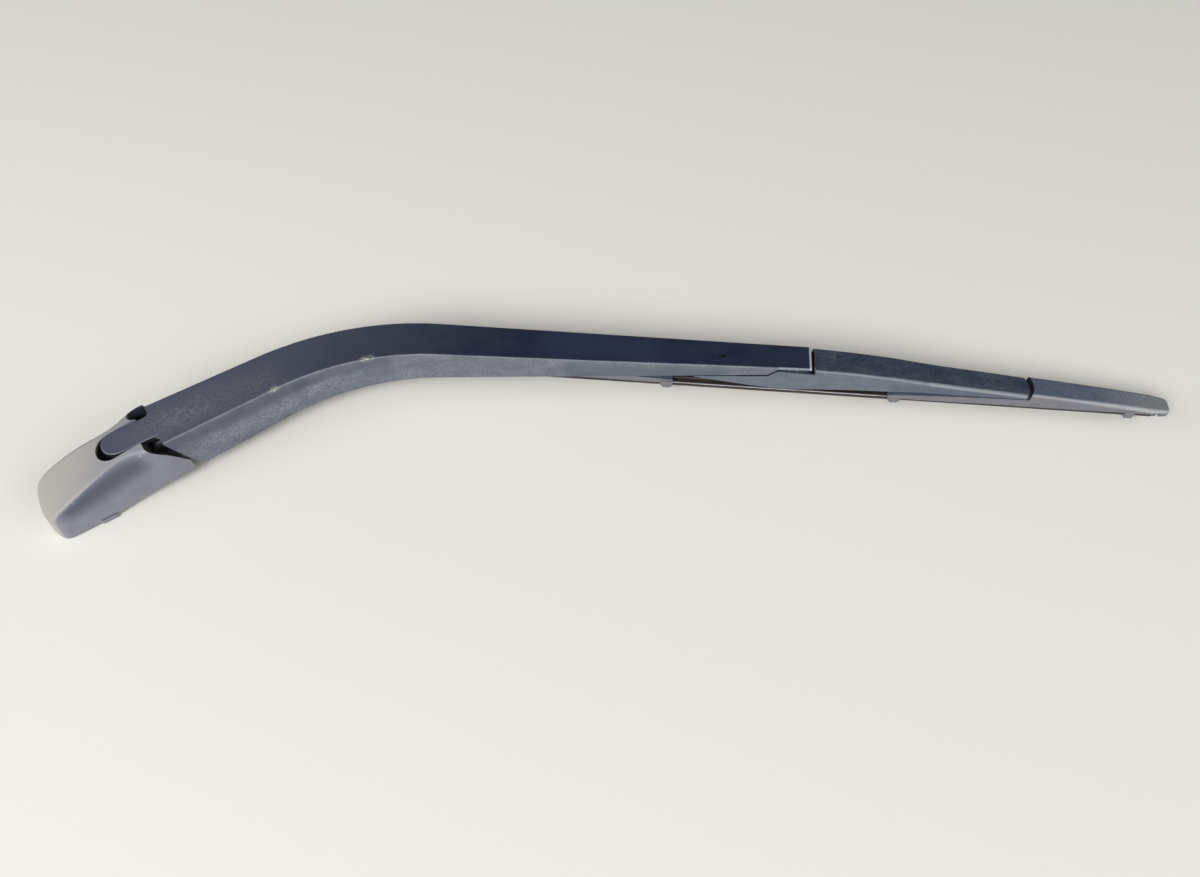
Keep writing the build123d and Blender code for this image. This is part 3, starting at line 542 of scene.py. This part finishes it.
@dataclass(frozen=True)
class MouldedRubber(Finish):
    """Moulded natural rubber: nearly black and matt, with a dusty bloom in faint streaks along it.

    Attributes:
        name: The material's name.
        colour: Colour of the clean rubber.
        bloom: Colour of the dusty bloom.
        streak: Width of the streaks, in millimetres.
        depth: Height of the streaks, in millimetres.
        rough: Roughness.
        drawn: Squash of the streaks' pattern on each axis, which draws them out along X.
        streak_octaves: Octaves of the streaks' noise.
        bloom_span: Noise level where the bloom begins and where it is whole.
        ior: Refractive index, that of natural rubber.
    """

    name: str
    colour: str
    bloom: str
    streak: float
    depth: float
    rough: float
    drawn: Point = (0.05, 1.0, 1.0)
    streak_octaves: float = 4.0
    bloom_span: Span = (0.45, 0.75)
    ior: float = 1.52

    def feed(self, tree: Tree) -> dict[str, Any]:
        """Wire the colour and streaks.

        Args:
            tree: The material's empty node tree.

        Returns:
            The shader's input values and links.
        """
        point = add_node(tree, "TexCoord", output="Object")
        drawn = add_node(tree, "VectorMath", {0: point, 1: self.drawn}, operation="MULTIPLY")
        streaks = add_node(tree, "TexNoise", {
            "Vector": drawn, "Scale": 1 / (self.streak * MM), "Detail": self.streak_octaves,
        })
        share = add_node(tree, "MapRange", {
            "Value": streaks, "From Min": self.bloom_span[0], "From Max": self.bloom_span[1],
        }, interpolation_type="SMOOTHSTEP")
        bloomed = {FACTOR: share, UNDER: linear(self.colour), OVER: linear(self.bloom)}
        colour = add_node(tree, "Mix", bloomed, MIXED, data_type="RGBA")
        bump = add_node(tree, "Bump", {"Height": streaks, "Distance": self.depth * MM})
        return {"Base Color": colour, "Roughness": self.rough, "Normal": bump, "IOR": self.ior}


@dataclass(frozen=True)
class PaintedBoard(Finish):
    """Matt paint rolled on a board: one even colour with hardly a shine.

    Attributes:
        name: The material's name.
        colour: Colour of the paint.
        rough: Roughness.
    """

    name: str
    colour: str
    rough: float

    def feed(self, tree: Tree) -> dict[str, Any]:
        """Give the shader a plain colour and roughness, with no node in the tree."""
        return {"Base Color": linear(self.colour), "Roughness": self.rough}


# Glass-filled polyester from a grained tool: near-black satin roof, greyed at the head by weather,
# and chalky walls; painted highlights lie along the crease and the tongue's edges, and painted shade
# in the gaps at the head, under the crease and in a notch on the far edge
ARM_PLASTIC = GrainedSkin(
    name="arm_glass_filled_polyester_grained",
    roof="#151e33", roof_faded="#4a4d5b", fade_span=(15.0, 190.0),
    wall="#595d68", chalk="#6f737d", crease="#868b93", crease_highlight=0.4,
    grain=0.8, wall_grain=1.1, roof_cloud=0.06,
    marks=(
        Mark((28.0, 20.0, 28.0), (70.0, 50.0, 28.0), 16.0, "#7d8289", 0.26, clump=1.0),
        Mark((36.0, 28.0, 28.0), (46.0, 35.0, 28.0), 9.0, "#747b82", 0.4, clump=2.2, facing=Facing.UP),
        Mark((196.0, 84.0, 28.0), (236.0, 84.0, 28.0), 12.0, "#232d42", 0.7, core=0.2, facing=Facing.UP),
        Mark((290.0, 84.0, 28.0), (310.0, 84.0, 28.0), 9.0, "#20283a", 0.6, core=0.2, facing=Facing.UP),
        # Painted shade: the tail's walls and the arm's end faces in the gap round the head, near-black
        Mark(
            head_point(16, 0, 25), head_point(27, 0, 25), 12.0, "#0b0d13", 0.97,
            core=0.7, facing=Facing.SIDE,
        ),
        Mark((30.0, 15.2, 24.0), (32.5, 15.2, 18.0), 5.5, "#0b0d13", 0.97, core=0.7, facing=Facing.SIDE),
        Mark((30.6, 15.2, 23.4), (31.2, 14.8, 22.6), 3.2, "#0b0d13", 0.97, core=0.7),
        Mark(
            head_point(36, -12, 22), head_point(50, -13, 4), 7.0, "#0b0d13", 0.95,
            core=0.7, facing=Facing.BACK,
        ),
        # Painted shade: a darker band on the near wall just under the crease
        Mark((38.0, 16.0, 24.5), (85.0, 53.0, 24.0), 6.0, "#434957", 0.6, core=0.2, facing=Facing.SIDE),
        Mark((85.0, 53.0, 24.0), (120.0, 69.0, 25.0), 5.0, "#434957", 0.5, core=0.2, facing=Facing.SIDE),
        Mark((47.0, 23.0, 15.0), (80.0, 49.0, 15.5), 6.0, "#8c9194", 0.5, clump=1.3, facing=Facing.SIDE),
        Mark((88.0, 55.0, 18.0), (108.0, 65.0, 18.5), 5.0, "#969ca4", 0.45, clump=1.1, facing=Facing.SIDE),
        Mark((104.0, 63.5, 20.0), (120.0, 69.0, 19.0), 6.0, "#4b515d", 0.4, core=0.2, facing=Facing.SIDE),
        Mark((205.0, 74.0, 20.5), (272.0, 76.2, 22.5), 7.0, "#454e5b", 0.6, core=0.2, facing=Facing.SIDE),
        Mark((126.0, 70.0, 16.5), (138.0, 71.0, 15.0), 4.5, "#8a8675", 0.4, clump=0.8, facing=Facing.SIDE),
        Mark((75.0, 46.4, 27.4), (76.6, 47.6, 27.4), 2.2, "#b5b2a4", 0.85, clump=0.8),
        Mark((111.0, 67.2, 27.5), (114.5, 68.6, 27.5), 2.0, "#b5b2a4", 0.85, clump=0.8),
        Mark((271.4, 82.2, 28.0), (273.0, 82.8, 28.0), 1.3, "#07090d", 0.95, core=0.4),
        # Painted shade: a dark line in the notch on the far edge at the tongue's root
        Mark((294.5, 91.2, 28.0), (300.5, 91.2, 28.0), 1.2, "#07090d", 0.95, core=0.5),
        # Painted highlights: pale lines along the tongue's near edge and across its end
        Mark((297.5, 77.8, 27.7), (311.5, 78.1, 27.7), 0.6, "#8f9aa6", 0.5, core=0.4),
        Mark((311.7, 78.6, 28.0), (311.7, 90.4, 28.0), 1.0, "#a9b3bd", 0.9, core=0.5),
    ),
)
# Moulded plastic of the cap: the sun has bleached its roof to a warm pale grey, the walls stay
# blue-grey, with painted shade darkest just under the crease and near-black painted shade in the
# gaps at its rim and inside its far side
CAP_PLASTIC = GrainedSkin(
    name="cap_plastic_bleached",
    roof="#85868c", roof_faded="#9b9792", fade_span=(-6.0, 26.0),
    wall="#73747d", chalk="#80818a", crease="#9c9b9b", crease_highlight=0.0,
    turn=(-0.5, -0.1), wall_way=head_point(0.0, 1.0, 0.0),
    cloud=9.0, wall_grain=0.2, roof_grain=0.15, roof_cloud=0.15, roof_rough=0.55,
    marks=(
        # Painted shade: a dark band on the near wall just under the crease
        Mark((3.0, -14.0, 16.5), (25.0, 5.5, 21.5), 10.0, "#484d5c", 0.88, core=0.1, facing=Facing.NEAR),
        Mark((28.6, 8.2, 26.6), (29.4, 8.9, 26.8), 1.4, "#a3a6ac", 0.6, clump=0.7),
        # Painted shade: the sloped front rim, near-black beside the gap round the arm
        Mark(
            head_point(30, -9, 27), head_point(45, -13, 12), 6.0, "#0b0d13", 0.96,
            core=0.8, facing=Facing.RIM,
        ),
        Mark((-1.0, -15.2, 16.0), (4.0, -11.8, 18.6), 1.4, "#a5a5a4", 0.5, clump=0.8),
        # Painted shade: faces inside the far side of the head, near-black
        Mark((17.5, 30.3, 24.0), (22.0, 34.0, 24.0), 5.5, "#191d29", 0.92, core=0.6, facing=Facing.NEAR),
        Mark(head_point(2.0, -21.0, 5.0), head_point(12.0, -21.0, 5.0), 4.0, "#73747d", 0.9, core=0.6),
        Mark(
            head_point(1.0, -14.2, 2.2), head_point(7.0, -14.2, 2.2), 1.6, "#4d4f58", 0.85,
            core=0.6, facing=Facing.UP,
        ),
    ),
)
# Glass-filled plastic of the bridge: mottled dark roof with pale flecks of fibre, smoother walls,
# painted highlights along the crease and near-black painted shade in the gaps under the arm's tongue
# and at the seam
BRIDGE_PLASTIC = GrainedSkin(
    name="bridge_glass_filled_plastic_mottled",
    roof="#283140", wall="#575d69", chalk="#646b76", crease="#868d97", crease_highlight=0.5,
    grain=0.8, cloud=3.5, roof_cloud=0.3, roof_grain=1.8, wall_grain=0.5,
    marks=(
        Mark((350.0, 77.5, 19.5), (400.0, 77.8, 17.0), 4.0, "#464d5d", 0.5, core=0.2, facing=Facing.SIDE),
        # Painted highlights along the near crease, stronger towards the yoke
        Mark((322.0, 77.6, 27.6), (409.0, 78.7, 18.1), 1.3, "#7b8189", 0.3, core=0.2),
        Mark((348.0, 77.9, 25.3), (374.0, 78.2, 21.9), 1.4, "#7b8189", 0.4, core=0.2),
        Mark((366.0, 78.1, 22.8), (409.0, 78.7, 18.1), 1.5, "#8b8e93", 0.55, core=0.3),
        Mark((323.8, 86.7, 27.4), (324.8, 87.1, 27.3), 1.0, "#0c0f15", 0.8),
        # Painted shade: near-black under the tongue's end, along the skirt's top below the arm's edge and
        # step, and on the end face at the seam
        Mark((312.6, 79.8, 25.0), (312.6, 89.2, 25.0), 2.6, "#07080c", 0.97, core=0.8),
        Mark((262.0, 77.2, 20.6), (292.7, 77.4, 22.4), 1.6, "#07080c", 0.95, core=0.7, facing=Facing.UP),
        Mark((292.7, 77.4, 22.4), (297.0, 77.6, 26.1), 1.6, "#07080c", 0.95, core=0.7, facing=Facing.UP),
        Mark((411.0, 84.0, 12.0), (411.0, 84.0, 18.0), 7.0, "#07080c", 0.95, core=0.8, facing=Facing.FORE),
    ),
)
# The yokes' softer plastic has greyed, most at the blade's free tip; a painted highlight runs along
# the crease, brightest towards the tip, and painted shade darkens the seam with the bridge
YOKE_PLASTIC = GrainedSkin(
    name="yoke_plastic_greyed",
    roof="#4a5263", roof_faded="#6f7377", fade_span=(470.0, 432.0),
    wall="#67686f", chalk="#717279", crease="#a6a8ad", crease_highlight=0.6,
    grain=0.8, cloud=4.0, roof_cloud=0.2, roof_grain=1.3, wall_grain=0.4,
    marks=(
        # Painted highlights along the near crease, brightest towards the tip
        Mark((414.0, 78.6, 18.7), (475.0, 79.4, 11.9), 1.6, "#8b8e93", 0.42, core=0.3),
        Mark((436.0, 78.7, 16.3), (475.0, 79.4, 11.9), 1.7, "#95989a", 0.3, core=0.3),
        Mark((446.0, 78.8, 15.2), (475.0, 79.4, 11.9), 1.8, "#9b9d9e", 0.3, core=0.3),
        Mark((456.0, 78.9, 14.1), (475.0, 79.4, 11.9), 1.9, "#9fa1a1", 0.4, core=0.3),
        # Painted shade: the end face and the foot of the seam with the bridge, near-black
        Mark((412.4, 84.0, 12.0), (412.4, 84.0, 18.0), 8.0, "#07080c", 0.97, core=0.8, facing=Facing.AFT),
        Mark((411.0, 81.5, 12.4), (411.0, 86.5, 12.4), 3.0, "#07080c", 0.97, core=0.7),
    ),
)
# Nylon clip under the tongue, out of the sun: plain black with a soft shine
CLIP_PLASTIC = GrainedSkin(
    name="clip_nylon_moulded",
    roof="#1d1f24", wall="#202227", chalk="#2b2d32", crease="#383b40", wall_grain=0.2,
)
# Black acetal bushes, waxy and smeared with grease
BUSH_PLASTIC = GrainedSkin(
    name="bush_acetal_greased",
    roof="#0d0e10", wall="#0d0e10", chalk="#181714", crease="#1c1c1e", wall_grain=0.15, wall_rough=0.4,
)
# Die-cast hub under a black dip coat: dark satin skin over a lumpy casting
HUB_COAT = GrainedSkin(
    name="hub_die_cast_black_coat",
    roof="#0f1114", wall="#0f1114", chalk="#1a1c20", crease="#2a2c30", grain=0.9, grain_depth=0.04,
)
# Phosphated steel pins and link: dark grey, dull where the oil has gone
PIN_STEEL = WorkedMetal("pin_steel_phosphated", "#363637", "#232220", 0.45, 0.2, scratch=0.3, cloud=3.0)
# Drawn spring wire: grey steel under a brown film of oil
SPRING_WIRE = WorkedMetal(
    "spring_wire_drawn_oiled", "#6c6f73", "#3d3b39", 0.3, 0.25, scratch=0.2, cloud=4.0,
)
# Rolled strip steel: pale and dull at its rims, with handling marks, painted shade as a dark film on
# its broad faces, and brown sheared edges
RAIL_STRIP = WorkedMetal(
    "rail_strip_steel_rolled", "#e4e4e7", "#c0bfc2", 0.6, 0.15,
    scratch=0.25, cloud=18.0, edge="#4b403b", painted_shade="#57534f",
)
# Natural rubber: brown-black with dusty streaks
WIPER_RUBBER = MouldedRubber(
    "wiper_rubber_moulded", "#241f1d", "#453d39", streak=0.8, depth=0.02, rough=0.62,
)
# Matt paint on the board that the arm lies on: even, pale and a little warm
FLOOR_PAINT = PaintedBoard("floor_painted_board", "#e3e1db", 0.6)


class Paintbox:
    """The materials made so far, each made once."""

    def __init__(self) -> None:
        """Start with none made."""
        self._made: dict[str, bpy.types.Material] = {}

    def get(self, finish: Finish) -> bpy.types.Material:
        """Hand out a finish's material, making it on its first use.

        Args:
            finish: The finish.

        Returns:
            Its material.
        """
        if finish.name not in self._made:
            self._made[finish.name] = finish.make()
        return self._made[finish.name]

    def dress(self, node: str, finish: Finish) -> None:
        """Give a carried-over node its finish.

        Args:
            node: The node's name.
            finish: The finish.
        """
        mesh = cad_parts[node].data
        mesh.materials.clear()
        mesh.materials.append(self.get(finish))
        LOG.info("%s: %s", node, finish.name)


@dataclass
class SpindleHead:
    """The cast head on the spindle, its two bushes and the pin that the spring's link hooks on."""

    casting: Finish = HUB_COAT
    bushes: Finish = BUSH_PLASTIC
    pin: Finish = PIN_STEEL

    def build(self, paints: Paintbox) -> None:
        """Dress the head's nodes.

        Args:
            paints: The materials.
        """
        paints.dress("hub", self.casting)
        paints.dress("bush_near", self.bushes)
        paints.dress("bush_far", self.bushes)
        paints.dress("hook_pin", self.pin)


@dataclass
class CoverCap:
    """The hood over the spindle."""

    shell: Finish = CAP_PLASTIC

    def build(self, paints: Paintbox) -> None:
        """Dress the hood."""
        paints.dress("cap", self.shell)


@dataclass
class CrankedArm:
    """The cranked channel with the pins that are pressed into it."""

    channel: Finish = ARM_PLASTIC
    pins: Finish = PIN_STEEL

    def build(self, paints: Paintbox) -> None:
        """Dress the channel and its pins.

        Args:
            paints: The materials.
        """
        paints.dress("arm", self.channel)
        for pin in ("pivot_pin", "anchor_pin", "blade_pin"):
            paints.dress(pin, self.pins)


@dataclass
class SpringSet:
    """The pressing spring and the link that hooks it to the head."""

    link: Finish = PIN_STEEL
    wire: Finish = SPRING_WIRE

    def build(self, paints: Paintbox) -> None:
        """Dress the spring and its link."""
        paints.dress("spring_link", self.link)
        paints.dress("spring", self.wire)


@dataclass
class BladeCarrier:
    """The bridge, its clip, and the two rocking yokes with their pins."""

    beam: Finish = BRIDGE_PLASTIC
    clip: Finish = CLIP_PLASTIC
    yokes: Finish = YOKE_PLASTIC
    pins: Finish = PIN_STEEL

    def build(self, paints: Paintbox) -> None:
        """Dress the bridge, the clip, the yokes and their pins.

        Args:
            paints: The materials.
        """
        paints.dress("bridge", self.beam)
        paints.dress("blade_clip", self.clip)
        for side in ("inner", "outer"):
            paints.dress(f"{side}_yoke", self.yokes)
            paints.dress(f"yoke_pin_{side}", self.pins)


@dataclass
class WipingElement:
    """The rubber and its two rails, each in two halves that run out from the blade's pivot.

    Attributes:
        centre: The blade's pivot in plan, in millimetres.
        claw: Distance from the centre to the inner claws, in millimetres; not used.
        rubber_half: Half the rubber's length, in millimetres.
        rail_half: Half a rail's length, in millimetres.
        step: Length of one segment along the blade, in millimetres.
        bend_height: Height of the line that the bend is measured along, in millimetres; not used.
        head: Far half of the rubber's head and neck, as across and up, in millimetres.
        lip: The lip from its far shoulder round to its near one, in millimetres.
        rail: The far rail's section, as across and up, in millimetres.
    """

    centre: tuple[float, float] = (300.0, 84.0)
    claw: float = 52.1
    rubber_half: float = 170.0
    rail_half: float = 169.0
    step: float = 4.0
    bend_height: float = 10.0
    head: Section = (
        (0.0, 11.2), (1.6, 11.2), (2.0, 10.9), (2.0, 10.52), (1.28, 10.52), (1.28, 9.58),
        (4.0, 9.58), (4.2, 9.4), (4.2, 8.7), (4.0, 8.5), (1.1, 8.5), (0.8, 8.2), (0.8, 6.8),
    )
    lip: Section = (
        (1.1, 6.5), (2.5, 6.2), (2.7, 5.9), (2.7, 5.4), (3.0, 0.0), (2.2, 0.0), (-0.2, 3.6),
        (-2.1, 5.4), (-2.3, 5.8), (-2.1, 6.2), (-1.1, 6.5),
    )
    rail: Section = (
        (1.3, 9.7), (1.4, 9.6), (4.5, 9.6), (4.6, 9.7),
        (4.6, 10.4), (4.5, 10.5), (1.4, 10.5), (1.3, 10.4),
    )

    def build(self, paints: Paintbox) -> None:
        """Build all six halves in place of the carried-over rubber and rails, which are hidden.

        Args:
            paints: The materials.
        """
        rubber = [*self.head, *self.lip, *[(-y, z) for y, z in reversed(self.head[1:])]]
        near_rail = [(-y, z) for y, z in reversed(self.rail)]
        strips = (
            ("rubber", rubber, self.rubber_half, WIPER_RUBBER, "wiper_rubber"),
            ("flexor_far", self.rail, self.rail_half, RAIL_STRIP, "rail_steel"),
            ("flexor_near", near_rail, self.rail_half, RAIL_STRIP, "rail_steel"),
        )
        for node, section, length, finish, slot in strips:
            for half in Half:
                piece = self._strip(f"{node}_{half.name.lower()}", section, length, half)
                piece.data.materials.append(paints.get(finish))
                self._bend(piece)
                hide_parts(node)
                LOG.info("%s: %s", piece.name, finish.name)

    def _strip(self, name: str, section: Section, length: float, half: Half) -> bpy.types.Object:
        """Sweep a section along half of the blade, in short segments so that it can bend.

        Args:
            name: The piece's name.
            section: The section, as across and up, in millimetres.
            length: Length of the half, in millimetres.
            half: Which half.

        Returns:
            The piece.
        """
        mesh = bmesh.new()
        count = round(length / self.step)
        rings = []
        for index in range(count + 1):
            x = self.centre[0] + half.value * length * index / count
            rings.append([mesh.verts.new(Vector((x, self.centre[1] + y, z)) * MM) for y, z in section])
        for ring, after in zip(rings, rings[1:]):
            for here in range(len(ring)):
                there = (here + 1) % len(ring)
                mesh.faces.new((ring[here], ring[there], after[there], after[here]))
        mesh.faces.new(rings[0])
        mesh.faces.new(rings[-1])
        bmesh.ops.recalc_face_normals(mesh, faces=mesh.faces)
        data = bpy.data.meshes.new(name)
        mesh.to_mesh(data)
        mesh.free()
        piece = bpy.data.objects.new(name, data)
        bpy.context.scene.collection.objects.link(piece)
        return piece

    def _bend(self, piece: bpy.types.Object) -> None:
        """Bake the half's transform into its mesh.

        Args:
            piece: The half.
        """
        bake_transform(piece)


@dataclass(frozen=True)
class Lamp:
    """A soft rectangular lamp that is turned to the arm.

    Attributes:
        name: The lamp's name.
        place: Where it hangs, in metres.
        size: Its sides, in metres.
        power: Its power, in watts.
    """

    name: str
    place: Point
    size: tuple[float, float]
    power: float


@dataclass
class Studio:
    """Floor, light and camera.

    Attributes:
        floor: Finish of the pale board that the arm lies on.
        floor_half: Half the board's side, in metres.
        floor_drop: How far it lies below the arm, so that no two faces coincide, in millimetres.
        camera_place: The camera, in metres.
        camera_aim: What it looks at, in metres.
        lens: Focal length, in millimetres.
        sensor: Width of the camera's sensor, in millimetres.
        lamps: The soft lamps round the arm.
        room: Brightness of the room.
        dark: Brightness of its dark corner, which the roofs reflect.
        dark_way: Direction of the dark corner.
        dark_span: How far along it a ray points where the room begins to darken and where it is darkest.
    """

    floor: Finish = FLOOR_PAINT
    floor_half: float = 4.0
    floor_drop: float = 0.1
    camera_place: Point = (0.2412, -0.2097, 0.3753)
    camera_aim: Point = (0.2192, 0.0522, 0.0)
    lens: float = 30.0
    sensor: float = 36.0
    lamps: tuple[Lamp, ...] = (
        Lamp("key", (-0.6, -1.8, 1.7), (1.6, 1.1), 66.0),
        Lamp("left", (-1.9, -0.6, 1.4), (1.6, 1.2), 16.0),
        Lamp("right", (2.4, -0.6, 1.4), (1.6, 1.2), 24.0),
    )
    room: float = 0.31
    dark: float = 0.08
    dark_way: Point = (0.0, 0.57, 0.82)
    dark_span: Span = (0.2, 0.92)

    def build(self) -> None:
        """Set up the whole studio."""
        self._lay_floor()
        self._light_room()
        for lamp in self.lamps:
            self._hang(lamp)
        self._set_camera()
        bpy.context.scene.view_settings.view_transform = "Standard"

    def _lay_floor(self) -> None:
        """Lay the pale board just under the arm."""
        half = self.floor_half
        mesh = bpy.data.meshes.new("floor")
        corners = [(-half, -half, 0), (half, -half, 0), (half, half, 0), (-half, half, 0)]
        mesh.from_pydata(corners, [], [(0, 1, 2, 3)])
        floor = bpy.data.objects.new("floor", mesh)
        floor.location.z = -self.floor_drop * MM
        bpy.context.scene.collection.objects.link(floor)
        mesh.materials.append(self.floor.make())

    def _light_room(self) -> None:
        """Light the room softly, with a dark corner above and behind the arm."""
        world = bpy.data.worlds.new("room")
        world.use_nodes = True
        tree = world.node_tree
        tree.nodes.clear()
        ray = add_node(tree, "TexCoord", output="Generated")
        near = add_node(tree, "VectorMath", {0: ray, 1: self.dark_way}, "Value", operation="DOT_PRODUCT")
        level = add_node(tree, "MapRange", {
            "Value": near, "From Min": self.dark_span[0], "From Max": self.dark_span[1],
            "To Min": self.room, "To Max": self.dark,
        }, interpolation_type="SMOOTHSTEP")
        light = add_node(tree, "Background", {"Color": linear("#ffffff"), "Strength": level})
        add_node(tree, "OutputWorld", {"Surface": light})
        bpy.context.scene.world = world

    def _hang(self, lamp: Lamp) -> None:
        """Hang one lamp, turned to the arm.

        Args:
            lamp: The lamp.
        """
        light = bpy.data.lights.new(lamp.name, "AREA")
        light.shape = "RECTANGLE"
        light.size, light.size_y = lamp.size
        light.energy = lamp.power
        self._aim(bpy.data.objects.new(lamp.name, light), lamp.place)

    def _set_camera(self) -> None:
        """Put the camera where the photograph was taken from."""
        lens = bpy.data.cameras.new("camera")
        lens.sensor_width = self.sensor
        lens.lens = self.lens
        camera = bpy.data.objects.new("camera", lens)
        self._aim(camera, self.camera_place)
        bpy.context.scene.camera = camera

    def _aim(self, thing: bpy.types.Object, place: Point) -> None:
        """Put a light or camera in its place and turn it to the arm.

        Args:
            thing: The light or camera.
            place: Where it goes, in metres.
        """
        thing.location = place
        sight = Vector(self.camera_aim) - Vector(place)
        thing.rotation_euler = sight.to_track_quat("-Z", "Y").to_euler()
        bpy.context.scene.collection.objects.link(thing)


def main() -> None:
    """Dress the carried-over nodes, build the wiping element and set up the studio."""
    logging.basicConfig(level=logging.INFO)
    paints = Paintbox()
    assemblies = (
        SpindleHead(), CoverCap(), CrankedArm(), SpringSet(), BladeCarrier(), WipingElement(),
    )
    for assembly in assemblies:
        LOG.info("building %s", type(assembly).__name__)
        assembly.build(paints)
    Studio().build()


if __name__ == "__main__":
    main()
